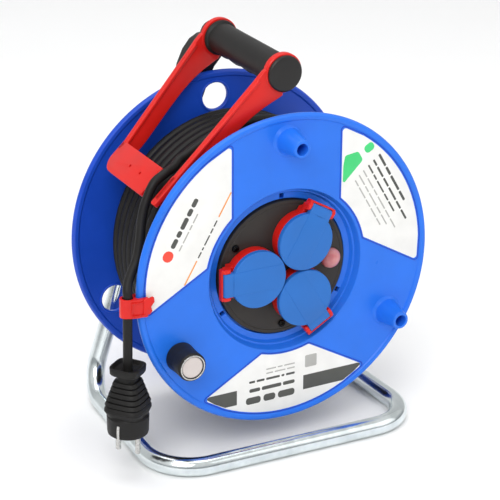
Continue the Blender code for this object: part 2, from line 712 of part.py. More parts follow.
def build_drum(drum):
    face = FLANGE_FACE
    back = FLANGE_BACK
    inner = BARREL_RADIUS - BARREL_WALL
    rim = DRUM_RADIUS - RIM_WIDTH
    skirt = HUB_LIP_RADIUS + HUB_SKIRT
    front = turned("drum_front", [(rim, face)] + rim_bead(0.0) + [
        (rim, back), (skirt + BARREL_WALL, back), (LEDGE_RADIUS + FLANGE_WALL, LEDGE_BACK),
        (BARREL_RADIUS, LEDGE_BACK), (BARREL_RADIUS, BARREL_BACK), (inner, BARREL_BACK),
        (inner, SHELF_BACK), (SHELF_RADIUS, SHELF_BACK),
        (SHELF_RADIUS, SHELF_FRONT), (PANEL_POCKET_RADIUS, SHELF_FRONT), (PANEL_POCKET_RADIUS, LEDGE_DEPTH),
        (LEDGE_RADIUS, LEDGE_DEPTH), (HUB_LIP_RADIUS - HUB_LIP_WALL, HUB_LIP_DEPTH),
        (HUB_LIP_RADIUS, HUB_LIP_DEPTH), (skirt, face),
    ], DRUM_SIDES, front_blue(), drum)
    for angle in PEG_ANGLES:
        place = polar(PEG_CIRCLE, angle)
        peg = round_tool("peg", [
            (PEG_BASE_RADIUS + 0.0012, back - 0.0012), (PEG_BASE_RADIUS, face - 0.0014),
            (PEG_TIP_RADIUS + 0.0003, -PEG_HEIGHT + 0.0009), (PEG_TIP_RADIUS - 0.0006, -PEG_HEIGHT),
        ], (place.x, place.z), 18, drum)
        join(front, peg)
        bore = round_tool("peg_bore", [
            (PEG_BORE_RADIUS + 0.0022, back + 0.003), (PEG_BORE_RADIUS, -PEG_HEIGHT + 0.012),
            (PEG_BORE_RADIUS, -PEG_HEIGHT - 0.003),
        ], (place.x, place.z), 12, drum)
        cut(front, bore)
    for angle in SCREW_ANGLES:
        place = polar(PANEL_SCREW_CIRCLE + 0.0006, angle)
        lug = round_tool("panel_lug", [(LUG_RADIUS, SHELF_FRONT + 0.0004), (LUG_RADIUS, SHELF_FRONT + 0.012)],
                         (place.x, place.z), 8, drum)
        join(front, lug)
        place = polar(PANEL_SCREW_CIRCLE, angle)
        bore = round_tool("panel_lug_bore", [(SCREW_SHANK_RADIUS + GAP, SHELF_FRONT - 0.002),
                                             (SCREW_SHANK_RADIUS + GAP, SHELF_FRONT + 0.014)],
                          (place.x, place.z), 8, drum)
        cut(front, bore)
        place = polar(DRUM_SCREW_CIRCLE, angle)
        pillar = round_tool("drum_pillar", [(LUG_RADIUS, BARREL_BACK - 0.022),
                                            (LUG_RADIUS, BARREL_BACK - 0.0004)], (place.x, place.z), 8, drum)
        join(front, pillar)
        bore = round_tool("drum_pillar_bore", [(SCREW_SHANK_RADIUS + GAP, BARREL_BACK - 0.014),
                                               (SCREW_SHANK_RADIUS + GAP, BARREL_BACK + 0.003)],
                          (place.x, place.z), 8, drum)
        cut(front, bore)
    for angle in SCREW_ANGLES:
        recess = plate("label_recess", label_outline(angle), face - 0.002, face + LABEL_RECESS,
                       None, drum, cutter=True)
        cut(front, recess)
    half = LEDGE_HOLE / 2.0
    for angle in SPOKE_ANGLES:
        carrier = empty("ledge_hole_place", (0.0, 0.0, 0.0), angle, drum)
        middle = (PANEL_POCKET_RADIUS + LEDGE_RADIUS) / 2.0
        hole = box("ledge_hole", (-half, LEDGE_DEPTH - 0.002, middle - half),
                   (half, LEDGE_DEPTH + 0.0022, middle + half), None, carrier, cutter=True)
        cut(front, hole)
    place = polar(PEG_CIRCLE, CRANK_ANGLE)
    hole = round_tool("crank_hole", [(CRANK_PIN_RADIUS + GAP, face - 0.003),
                                     (CRANK_PIN_RADIUS + GAP, back + 0.003)],
                      (place.x, place.z), 12, drum)
    cut(front, hole)

    plate_back = REAR_PLATE_BACK
    hub_back = CARRIER_FRONT - GAP
    bore_radius = AXLE_RADIUS + GAP
    rear = turned("drum_rear", [
        (bore_radius, HUB_FRONT), (HUB_RADIUS, HUB_FRONT), (HUB_RADIUS, REAR_FLANGE_DEPTH),
        (rim, REAR_FLANGE_DEPTH),
    ] + rim_bead(REAR_FLANGE_DEPTH - REAR_RIM_FORWARD) + [
        (rim, plate_back), (HUB_RADIUS + 0.004, plate_back), (HUB_RADIUS - 0.002, hub_back),
        (bore_radius, hub_back),
    ], DRUM_SIDES, rear_blue(), drum)
    for angle in SPOKE_ANGLES:
        place = polar(REAR_HOLE_CIRCLE, angle)
        hole = round_tool("rear_hole", [(REAR_HOLE_RADIUS, REAR_FLANGE_DEPTH - 0.004),
                                        (REAR_HOLE_RADIUS, plate_back + 0.004)], (place.x, place.z), 20, drum)
        cut(rear, hole)
    for angle in range(30, 390, 60):
        carrier = empty("rib_place", (0.0, 0.0, 0.0), float(angle), drum)
        rib = box("hub_rib", (-0.0010, HUB_FRONT + 0.010, HUB_RADIUS - 0.001),
                  (0.0010, REAR_FLANGE_DEPTH + 0.0005, HUB_RIB_RADIUS), None, carrier, cutter=True)
        join(rear, rib)
    for number, angle in enumerate(SCREW_ANGLES, start=1):
        place = polar(DRUM_SCREW_CIRCLE, angle)
        hole = round_tool("drum_screw_hole", [(SCREW_SHANK_RADIUS + GAP, REAR_FLANGE_DEPTH - 0.003),
                                              (SCREW_SHANK_RADIUS + GAP, plate_back + 0.004)],
                          (place.x, place.z), 8, drum)
        cut(rear, hole)
        screw("drum_screw_%d" % number, (place.x, place.z), plate_back + GAP, 1.0, 0.0145, drum, steel())


# ---------------------------------------------------------------- sockets
def build_sockets(drum):
    panel = turned("socket_panel", [
        (0.0, PANEL_FRONT), (PANEL_RADIUS - 0.0008, PANEL_FRONT), (PANEL_RADIUS, PANEL_FRONT + 0.0008),
        (PANEL_RADIUS, PANEL_BACK), (0.0, PANEL_BACK),
    ], 36, black(), drum)
    ring_inner = SOCKET_RING_RADIUS - SOCKET_RING_WALL
    insert_radius = ring_inner - GAP
    insert_front = SOCKET_FRONT + 0.0003
    well_floor = insert_front + WELL_DEPTH
    for number, angle in enumerate(SCREW_ANGLES, start=1):
        place = polar(PANEL_SCREW_CIRCLE, angle)
        hole = round_tool("panel_screw_hole", [(SCREW_SHANK_RADIUS + GAP, PANEL_FRONT - 0.003),
                                               (SCREW_SHANK_RADIUS + GAP, PANEL_BACK + 0.003)],
                          (place.x, place.z), 8, drum)
        cut(panel, hole)
        seat = PANEL_FRONT - GAP
        screw("panel_screw_%d" % number, (place.x, place.z), seat, -1.0, 0.016, drum, dark_screw())

    for number, angle in enumerate(SOCKET_ANGLES, start=1):
        place = empty("socket_place_%d" % number, (0.0, 0.0, 0.0), angle, drum)
        centre = (0.0, SOCKET_CIRCLE)
        hole = round_tool("socket_hole", [(ring_inner, PANEL_FRONT - 0.004),
                                          (ring_inner, PANEL_BACK + 0.004)], centre, 24, place)
        cut(panel, hole)
        ring_back = PANEL_FRONT - GAP
        ring = turned("socket_ring_%d" % number, [
            (ring_inner, SOCKET_FRONT), (SOCKET_RING_RADIUS - 0.0006, SOCKET_FRONT),
            (SOCKET_RING_RADIUS, SOCKET_FRONT + 0.0006), (SOCKET_RING_RADIUS, ring_back),
            (ring_inner, ring_back),
        ], 24, red(), place, centre=(0.0, 0.0, SOCKET_CIRCLE))
        outer_x = LID_TAB_WIDTH / 2.0 + GAP + CHEEK_WALL
        inner_x = LID_TAB_WIDTH / 2.0 + GAP
        hinge_end = HINGE_CIRCLE + 0.0055
        cheek_front = LID_FRONT + 0.0006
        for side in (-1.0, 1.0):
            low = min(side * inner_x, side * outer_x)
            high = max(side * inner_x, side * outer_x)
            cheek = box("cheek", (low, cheek_front, HINGE_CIRCLE - 0.0025),
                        (high, ring_back, hinge_end - 0.0002), None, place, cutter=True)
            join(ring, cheek)
            foot = box("cheek_foot", (low, SOCKET_FRONT + 0.001, HINGE_CIRCLE - 0.011),
                       (high, ring_back, HINGE_CIRCLE - 0.0015), None, place, cutter=True)
            join(ring, foot)
        wall = box("hinge_wall", (-outer_x, LID_FRONT + 0.0014, HINGE_CIRCLE + KNUCKLE_RADIUS + 0.0004),
                   (outer_x, ring_back, hinge_end), None, place, cutter=True)
        join(ring, wall)
        base = box("hinge_base", (-outer_x, ring_back - 0.0035, HINGE_CIRCLE - 0.007),
                   (outer_x, ring_back, hinge_end - 0.0002), None, place, cutter=True)
        join(ring, base)
        pin_bore = cylinder("pin_bore", HINGE_PIN_RADIUS + GAP, -0.02, 0.02, None, place, axis="X",
                            centre=(HINGE_DEPTH, HINGE_CIRCLE), sides=8, cutter=True)
        cut(ring, pin_bore)
        cylinder("lid_pin_%d" % number, HINGE_PIN_RADIUS, -outer_x + 0.0003, outer_x - 0.0003, steel(), place,
                 axis="X", centre=(HINGE_DEPTH, HINGE_CIRCLE), sides=8)

        insert = turned("socket_insert_%d" % number, [
            (0.0, well_floor), (WELL_RADIUS, well_floor), (WELL_RADIUS, insert_front),
            (insert_radius, insert_front), (insert_radius, PANEL_BACK + GAP),
            (insert_radius + 0.0018, PANEL_BACK + GAP), (insert_radius, well_floor + 0.0030),
            (0.0, well_floor + 0.0030),
        ], 22, insert_black(), place, centre=(0.0, 0.0, SOCKET_CIRCLE))
        for side in (-1.0, 1.0):
            pin = round_tool("pin_hole", [(0.0026, well_floor - 0.003), (0.0026, well_floor + 0.006)],
                             (side * PIN_SPACING / 2.0, SOCKET_CIRCLE), 8, place)
            cut(insert, pin)
            letter = "a" if side < 0.0 else "b"
            clip = box("earth_clip_%d%s" % (number, letter), (-0.0022, insert_front + 0.0030, -0.0008),
                       (0.0022, well_floor - GAP, 0.0008), steel(), place)
            clip.location = (0.0, 0.0, SOCKET_CIRCLE + side * (WELL_RADIUS - 0.0016))

        hinge = empty("lid_hinge_%d" % number, (0.0, HINGE_DEPTH, HINGE_CIRCLE), 0.0, place)
        build_lid(number, hinge, pin_bore)
    build_button(drum, panel)


def dark_screw():
    return material("dark_steel", (0.05, 0.05, 0.05), 0.35, 0.9)


def insert_black():
    return material("socket_black_plastic", (0.02, 0.02, 0.021), 0.42)


def build_lid(number, hinge, pin_bore):
    """A lid in its hinge's frame: the disc hangs inwards, at -Z of the hinge pin."""
    front = LID_FRONT - HINGE_DEPTH
    back = LID_BACK - HINGE_DEPTH
    centre_z = SOCKET_CIRCLE - HINGE_CIRCLE
    lid = turned("lid_%d" % number, [
        (0.0, front), (LID_RADIUS - 0.0008, front), (LID_RADIUS, front + 0.0010), (LID_RADIUS, back),
        (0.0232, back), (0.0232, back - 0.0026), (0.0, back - 0.0026),
    ], 30, lid_blue(), hinge, centre=(0.0, 0.0, centre_z))
    half = LID_TAB_WIDTH / 2.0
    tab = box("lid_tab", (-half, front, -0.0115), (half, back, 0.0), None, hinge, cutter=True)
    knuckle = cylinder("lid_knuckle", KNUCKLE_RADIUS, -half, half, None, hinge, axis="X", centre=(0.0, 0.0),
                       sides=12, cutter=True, turn=15.0)
    join(lid, tab, knuckle)
    cut(lid, pin_bore)


def build_button(drum, panel):
    place = polar(BUTTON_CIRCLE, BUTTON_ANGLE)
    centre = (place.x, place.z)
    pocket_floor = PANEL_BACK - 0.0012
    pocket = round_tool("button_pocket", [(BUTTON_RADIUS + GAP, PANEL_FRONT - 0.003),
                                          (BUTTON_RADIUS + GAP, pocket_floor)], centre, 18, drum)
    stem_hole = round_tool("button_stem_hole", [(BUTTON_STEM_RADIUS + GAP, pocket_floor - 0.002),
                                                (BUTTON_STEM_RADIUS + GAP, PANEL_BACK + 0.003)],
                           centre, 12, drum)
    cut(panel, pocket, stem_hole)
    skirt_end = pocket_floor - GAP - BUTTON_TRAVEL
    top = PANEL_FRONT - BUTTON_HEIGHT
    stem_end = PANEL_BACK + 0.006
    profile = [(0.0, top)]
    for share in (0.45, 0.75, 0.93):
        profile.append((BUTTON_RADIUS * share,
                        top + (BUTTON_HEIGHT - 0.0012) * (1.0 - math.sqrt(1.0 - share * share))))
    profile += [(BUTTON_RADIUS, top + BUTTON_HEIGHT - 0.0012), (BUTTON_RADIUS, skirt_end),
                (BUTTON_STEM_RADIUS, skirt_end), (BUTTON_STEM_RADIUS, stem_end), (0.0, stem_end)]
    slide = empty("button_slide", (place.x, 0.0, place.z), 0.0, drum)
    turned("reset_button", profile, 16, pink(), slide)
    bore_floor = stem_end + BUTTON_TRAVEL + GAP
    turned("thermal_cutout", [
        (BUTTON_STEM_RADIUS + GAP, PANEL_BACK + GAP), (0.0084, PANEL_BACK + GAP),
        (0.0084, bore_floor + 0.012), (0.0, bore_floor + 0.012), (0.0, bore_floor),
        (BUTTON_STEM_RADIUS + GAP, bore_floor),
    ], 12, pale(), drum, centre=(place.x, 0.0, place.z))


# ---------------------------------------------------------------- crank
def build_crank(drum):
    place = polar(PEG_CIRCLE, CRANK_ANGLE)
    centre = (place.x, 0.0, place.z)
    back = FLANGE_FACE + FLANGE_WALL
    seat = FLANGE_FACE - GAP
    end = -PEG_HEIGHT
    shoulder = end + 0.0047
    turned("crank_pin", [
        (0.0, shoulder - 0.0026), (0.0060, shoulder - 0.0026), (0.0060, shoulder - GAP),
        (CRANK_PIN_RADIUS, shoulder - GAP), (CRANK_PIN_RADIUS, back + GAP), (0.0060, back + GAP),
        (0.0060, back + 0.0015), (0.0, back + 0.0015),
    ], 12, steel(), drum, centre=centre)
    spin = empty("knob_spin", centre, 0.0, drum)
    turned("crank_knob", [
        (CRANK_PIN_RADIUS + GAP, seat), (KNOB_BASE_RADIUS, seat), (KNOB_END_RADIUS, end + 0.0012),
        (KNOB_END_RADIUS - 0.0010, end), (KNOB_BADGE_RADIUS + GAP, end),
        (KNOB_BADGE_RADIUS + GAP, end + 0.0016),
        (0.0060 + GAP, end + 0.0016), (0.0060 + GAP, shoulder), (CRANK_PIN_RADIUS + GAP, shoulder),
    ], 16, rubber(), spin)
    turned("knob_badge", [
        (0.0, end + 0.0003), (KNOB_BADGE_RADIUS, end + 0.0003), (KNOB_BADGE_RADIUS, end + 0.0013),
        (0.0, end + 0.0013),
    ], 16, pale(), spin)


# ---------------------------------------------------------------- grip and guide
def build_grip(stand, guide):
    centre = (0.0, 0.0, GRIP_HEIGHT)
    cap_back = CAP_FRONT + CAP_WALL
    core_inner = GRIP_CORE_RADIUS - GRIP_CORE_WALL
    turned("grip_cap", [
        (0.0, CAP_FRONT), (CAP_RADIUS - 0.0014, CAP_FRONT), (CAP_RADIUS, CAP_FRONT + 0.0012),
        (CAP_RADIUS, cap_back),
        (core_inner - GAP, cap_back), (core_inner - GAP, cap_back + CAP_SPIGOT),
        (0.0, cap_back + CAP_SPIGOT),
    ], 20, black(), stand, centre=centre)
    core_back = BRACKET_FRONT - 0.0002
    turned("grip_core", [
        (core_inner, EYE_FRONT_DEPTH), (GRIP_CORE_RADIUS, EYE_FRONT_DEPTH), (GRIP_CORE_RADIUS, core_back),
        (core_inner, core_back),
    ], 16, steel(), stand, centre=centre)

    start = EYE_FRONT_DEPTH + EYE_WALL + GAP
    end = COLLAR_FRONT + COLLAR_WALL
    counter = SPIGOT_RADIUS + GAP
    reach = SPIGOT_REACH
    bore = GRIP_CORE_RADIUS + GAP
    sleeve = turned("grip_sleeve", [
        (counter, start), (GRIP_RADIUS, start), (GRIP_RADIUS, COLLAR_FRONT - 0.0012),
        (COLLAR_RADIUS, COLLAR_FRONT), (COLLAR_RADIUS, end), (counter, end), (counter, end - reach - GAP),
        (bore, end - reach - GAP), (bore, start + reach + GAP), (counter, start + reach + GAP),
    ], 20, rubber(), guide)
    waves = finger_waves(start + reach + 0.0015, COLLAR_FRONT - 0.006)
    ridge = plate("finger_waves", waves, -0.0055, 0.0055, None, guide, cutter=True, plane="XY")
    ridge.rotation_euler = (0.0, math.radians(90.0 - GUIDE_ANGLE), 0.0)
    join(sleeve, ridge)


def finger_waves(start, end):
    """The finger side of the grip as an outline: reach from the axis against depth."""
    points = []
    count = 16
    for i in range(count + 1):
        share = i / count
        depth = start + (end - start) * share
        swell = 0.5 - 0.5 * math.cos(math.tau * 4.0 * share)
        fade = min(1.0, share / 0.08, (1.0 - share) / 0.08)
        points.append((GRIP_RADIUS - 0.0014 + 2.0 * GRIP_WAVE * swell * fade, depth))
    points.append((0.0113, end))
    points.append((0.0113, start))
    return points


def arm_shift(s, lean_start, lean_end, travel):
    """How far an arm leans forward at a distance s from the grip's axis."""
    share = min(1.0, max(0.0, (s - lean_start) / (lean_end - lean_start)))
    return travel * share


def arm_plate(name, outline, start, end, guide, lean_start, lean_end, travel):
    """A flat arm whose depth leans along its length; outline points are (n, s)."""
    arm = plate(name, [(-n, -s) for n, s in outline], start, end, None, guide, cutter=True)
    bm = bmesh.new()
    bm.from_mesh(arm.data)
    for station in (lean_start, lean_end):
        bmesh.ops.bisect_plane(bm, geom=list(bm.verts) + list(bm.edges) + list(bm.faces), dist=1e-7,
                               plane_co=(0.0, 0.0, -station), plane_no=(0.0, 0.0, 1.0))
    for vertex in bm.verts:
        vertex.co.y += arm_shift(-vertex.co.z, lean_start, lean_end, travel)
    bm.to_mesh(arm.data)
    bm.free()
    return arm


def arm_web(end_points):
    """An arm's outline from the eye outwards: outer edge first, then the end, then the inner edge."""
    outer = [(0.0162, 0.0050), (0.0157, 0.0150)]
    for s in (0.024, 0.040, 0.060, 0.080, 0.100, 0.115):
        outer.append((ARM_OUTER, s))
    inner = [(ARM_INNER, 0.115), (ARM_INNER, 0.100), (ARM_INNER, 0.080), (-0.0018, 0.060), (-0.0027, 0.047),
             (-0.0046, 0.035), (-0.0075, 0.025), (-0.0112, 0.0165), (-0.0125, 0.0105)]
    under_eye = [(-0.0070, 0.0115), (0.0, 0.0128), (0.0070, 0.0112), (0.0125, 0.0065)]
    return outer + end_points + inner + under_eye


def lip_band(far):
    points = []
    stations = [0.022, 0.040, 0.060, 0.080, 0.100, 0.115, 0.128]
    stations = [s for s in stations if s < far] + [far]
    for s in stations:
        points.append((ARM_OUTER, s))
    for s in reversed(stations):
        points.append((ARM_OUTER - 0.0048, s))
    return points


def build_guide(guide):
    bore = GRIP_CORE_RADIUS + GAP
    front_back = EYE_FRONT_DEPTH + EYE_WALL
    front = turned("cable_guide_front", [
        (bore, EYE_FRONT_DEPTH), (EYE_RADIUS - 0.0010, EYE_FRONT_DEPTH),
        (EYE_RADIUS, EYE_FRONT_DEPTH + 0.0012),
        (EYE_RADIUS, front_back), (SPIGOT_RADIUS, front_back), (SPIGOT_RADIUS, front_back + SPIGOT_REACH),
        (bore, front_back + SPIGOT_REACH),
    ], 24, red(), guide)
    far = GUIDE_PLATE_FAR
    hook_end = [(ARM_OUTER, far - 0.028), (ARM_OUTER, far - 0.013), (ARM_OUTER, far - 0.002), (0.0135, far),
                (0.0108, far - 0.0008), (0.0072, far - 0.0055), (0.0040, far - 0.0140), (0.0010, far - 0.0230),
                (-0.0008, far - 0.0320)]
    web_front = EYE_FRONT_DEPTH + 0.0006
    lean = (0.02, 0.10, -ARM_LIP)
    web = arm_plate("front_web", arm_web(hook_end), web_front, front_back - 0.0003, guide, *lean)
    lip = arm_plate("front_lip", lip_band(far - 0.004), web_front - ARM_LIP, web_front + 0.001, guide, *lean)
    join(front, web, lip)
    hook = guide_plate("front_hook", 0.0126, 0.0205, 0.002, guide)
    join(front, hook)

    rear_back = EYE_REAR_DEPTH + EYE_WALL
    rear = turned("cable_guide_rear", [
        (bore, EYE_REAR_DEPTH - SPIGOT_REACH), (SPIGOT_RADIUS, EYE_REAR_DEPTH - SPIGOT_REACH),
        (SPIGOT_RADIUS, EYE_REAR_DEPTH), (EYE_RADIUS - 0.0010, EYE_REAR_DEPTH),
        (EYE_RADIUS, EYE_REAR_DEPTH + 0.0012),
        (EYE_RADIUS, rear_back), (bore, rear_back),
    ], 24, red(), guide)
    near = GUIDE_PLATE_NEAR
    lean = (0.018, near, GUIDE_REAR_FACE - rear_back)
    rear_end = [(ARM_OUTER, near + 0.002), (ARM_OUTER, near + 0.012), (0.0120, near + 0.0135),
                (0.0060, near + 0.0110), (0.0010, near + 0.0040), (-0.0010, near - 0.0030)]
    web_front = EYE_REAR_DEPTH + 0.0006
    web = arm_plate("rear_web", arm_web(rear_end), web_front, rear_back - 0.0003, guide, *lean)
    lip = arm_plate("rear_lip", lip_band(near + 0.002), web_front - ARM_LIP, web_front + 0.001, guide, *lean)
    bar = guide_plate("rear_plate", GUIDE_PLATE_FRONT, GUIDE_REAR_FACE - 0.0004, GUIDE_CORNER_RADIUS, guide)
    join(rear, web, lip, bar)


def guide_plate(name, start, end, corner, guide):
    """The cross plate, as an outline of distance along the arms against depth."""
    near = GUIDE_PLATE_NEAR
    far = GUIDE_PLATE_FAR
    outline = [(near, start), (far - 0.0015, start), (far, start + 0.0015)]
    for i in range(6):
        angle = math.radians(90.0 * i / 5.0)
        outline.append((far - corner + corner * math.cos(angle), end - corner + corner * math.sin(angle)))
    outline.append((near, end))
    bar = plate(name, outline, -GUIDE_PLATE_OUTER, -GUIDE_PLATE_OUTER + GUIDE_PLATE_WALL, None, guide,
                cutter=True, plane="XY")
    bar.rotation_euler = (0.0, math.radians(90.0), 0.0)
    return bar


def build_bracket(stand, frame):
    centre = (0.0, GRIP_HEIGHT)
    bracket = plate("handle_bracket", list(BRACKET_OUTLINE), BRACKET_FRONT, BRACKET_BACK, black(), stand)
    boss_front = GRIP_BOSS_FRONT
    boss = round_tool("grip_boss", [(GRIP_BOSS_RADIUS, boss_front),
                                    (GRIP_BOSS_RADIUS, BRACKET_FRONT + GRIP_BOSS_ROOT)], centre, 20, stand)
    gusset_outline = [(-0.0095, GRIP_HEIGHT - 0.006), (-0.0080, GRIP_HEIGHT - 0.018),
                      (0.0020, GRIP_HEIGHT - 0.018), (0.0050, GRIP_HEIGHT - 0.006)]
    gusset = plate("boss_gusset", gusset_outline, boss_front + 0.0008, BRACKET_FRONT + 0.002, None, stand,
                   cutter=True)
    join(bracket, boss, gusset)
    core_hole = round_tool("core_hole", [(GRIP_CORE_RADIUS + GAP, boss_front - 0.003),
                                         (GRIP_CORE_RADIUS + GAP, BRACKET_FRONT + 0.0002)], centre, 16, stand)
    cut(bracket, core_hole)
    below = upright_line(0.55)
    above = upright_line(1.0)
    way = (above - below).normalized()
    bore = tube("tube_socket", [below, above + way * GAP], TUBE_RADIUS + GAP, None, stand, 4, cutter=True)
    cut(bracket, bore)
    # the screw heads lie sunk in the flat back
    seat = BRACKET_BACK - SCREW_HEAD_HEIGHT - GAP
    for number, share in enumerate(BRACKET_SCREW_SHARES, start=1):
        place = upright_line(share)
        sink = round_tool("bracket_screw_sink", [(SCREW_HEAD_RADIUS + 2.0 * GAP, seat - GAP),
                                                 (SCREW_HEAD_RADIUS + 2.0 * GAP, BRACKET_BACK + 0.003)],
                          (place.x, place.z), 12, stand)
        cut(bracket, sink)
        hole = round_tool("bracket_screw_hole", [(SCREW_SHANK_RADIUS + GAP, UPRIGHT_DEPTH),
                                                 (SCREW_SHANK_RADIUS + GAP, BRACKET_BACK + 0.003)],
                          (place.x, place.z), 8, stand)
        cut(bracket, hole)
        cut(frame, hole)
        length = seat - UPRIGHT_DEPTH - 0.0010
        screw("bracket_screw_%d" % number, (place.x, place.z), seat, 1.0, length, stand, steel())


# ---------------------------------------------------------------- cord
def winding_points():
    """The cord's outer layer from the rear flange to the tip, as one line in the drum's frame.

    It runs forward turn by turn, climbs onto itself at the front, crosses back over the
    layer and lifts off towards the loose cord.
    """
    step = 360.0 / WINDING_STEPS
    tip = TIP_ANGLE - DRUM_TURN
    helix = WINDING_TURNS * WINDING_STEPS
    climb = round(CLIMB_TURN / step)
    cross = round(CROSSING_TURN / step)
    total = helix + climb + cross
    points = []
    for i in range(total + 1):
        angle = tip + (total - i) * step
        radius = STRAND_RADIUS
        depth = WINDING_FRONT + WINDING_PITCH * max(0.0, (helix - i) / WINDING_STEPS)
        if i > helix:
            radius += STRAND_SPACE * min(1.0, (i - helix) / climb) ** 0.5
        if i > helix + climb:
            left = (total - i) * step
            if left > RETURN_TURN:
                share = (CROSSING_TURN - left) / (CROSSING_TURN - RETURN_TURN)
                share = share * share * (3.0 - 2.0 * share)
                depth = WINDING_FRONT + (CROSSING_DEPTH - WINDING_FRONT) * share
            else:
                share = 1.0 - left / RETURN_TURN
                depth = CROSSING_DEPTH + (TIP_DEPTH - CROSSING_DEPTH) * share ** 2
            if left < LIFT_TURN:
                lift = (LIFT_TURN - left) / LIFT_TURN
                radius += (TIP_RADIUS - STRAND_RADIUS - STRAND_SPACE) * lift ** 1.7
        points.append(polar(radius, angle, depth))
    start_way = (points[0] - points[1]).normalized()
    points.insert(0, points[0] + start_way * 2.0 * CORD_RADIUS)
    end_way = (points[-1] - points[-2]).normalized()
    points.append(points[-1] + end_way * 2.0 * CORD_RADIUS)
    return points


def least_gap(points, neighbours):
    """The least gap between parts of the cord that aren't next to each other."""
    least = 1.0
    for i, a in enumerate(points):
        for b in points[i + neighbours:]:
            least = min(least, (a - b).length)
    return least - 2.0 * CORD_RADIUS


def build_cord(stand, drum):
    cable = rubber()
    # the outer layer's straight pieces pass nearer to the axis than its points do
    outside = STRAND_RADIUS * math.cos(math.pi / WINDING_STEPS) - CORD_RADIUS - GAP
    inside = BARREL_RADIUS + GAP
    front = FLANGE_BACK + CORE_END_PLAY
    hub_back = LEDGE_BACK + CORE_END_PLAY
    skirt = HUB_LIP_RADIUS + HUB_SKIRT + BARREL_WALL
    turned("cord_inner_layers", [
        (inside, hub_back), (LEDGE_RADIUS + FLANGE_WALL + CORE_END_PLAY, hub_back),
        (skirt + CORE_END_PLAY, front), (outside, front), (outside, BARREL_BACK - CORE_END_PLAY),
        (inside, BARREL_BACK - CORE_END_PLAY),
    ], DRUM_SIDES, cable, drum)
    points = winding_points()
    tube("cord_winding", points, CORD_RADIUS, cable, drum, 1)
    print("winding: least gap to itself %.2f mm" % (least_gap(points, WINDING_STEPS // 2) * 1000.0))

    bpy.context.view_layer.update()
    to_stand = stand.matrix_world.inverted() @ drum.matrix_world
    tip = to_stand @ points[-1]
    way = (tip - to_stand @ points[-2]).normalized()
    start = tip + way * GAP
    axis = Vector((0.0, 0.0, DRUM_AXIS_HEIGHT))
    route = [start, start + way * 2.0 * CORD_RADIUS]
    for angle, radius, depth in CORD_ROUTE:
        route.append(polar(radius, angle, depth) + axis)
    straight_top = CLIP_MIDDLE + CLIP_HEIGHT / 2.0 + 0.002
    end = PLUG_COLLAR_TOP - PLUG_CUP_DEPTH + GAP
    for share in (0.0, 0.12, 0.25, 0.5, 0.75, 1.0):
        route.append(Vector((PLUG_X, PLUG_DEPTH, straight_top + (end - straight_top) * share)))
    places, length = smooth_route(route, 0.0095)
    # the ends are straight for one diameter, so that they meet their neighbours face to face
    places[0] = start
    places[-1] = route[-1]
    places[1:1] = [] if (places[1] - start).length < 0.0083 else [start + way * 0.0083]
    rim_gap = 1.0
    for place in places:
        radius = math.hypot(place.x, place.z - DRUM_AXIS_HEIGHT)
        across = max(radius - DRUM_RADIUS, DRUM_RADIUS - RIM_WIDTH - radius, 0.0)
        along = max(place.y - RIM_DEPTH, -place.y, 0.0)
        rim_gap = min(rim_gap, math.hypot(across, along))
    tube("free_cord", places, CORD_RADIUS, cable, stand, 2)
    print("free cord: %.0f mm long" % (length * 1000.0))
    print("free cord: gap to the rim %.1f mm" % ((rim_gap - CORD_RADIUS) * 1000.0))


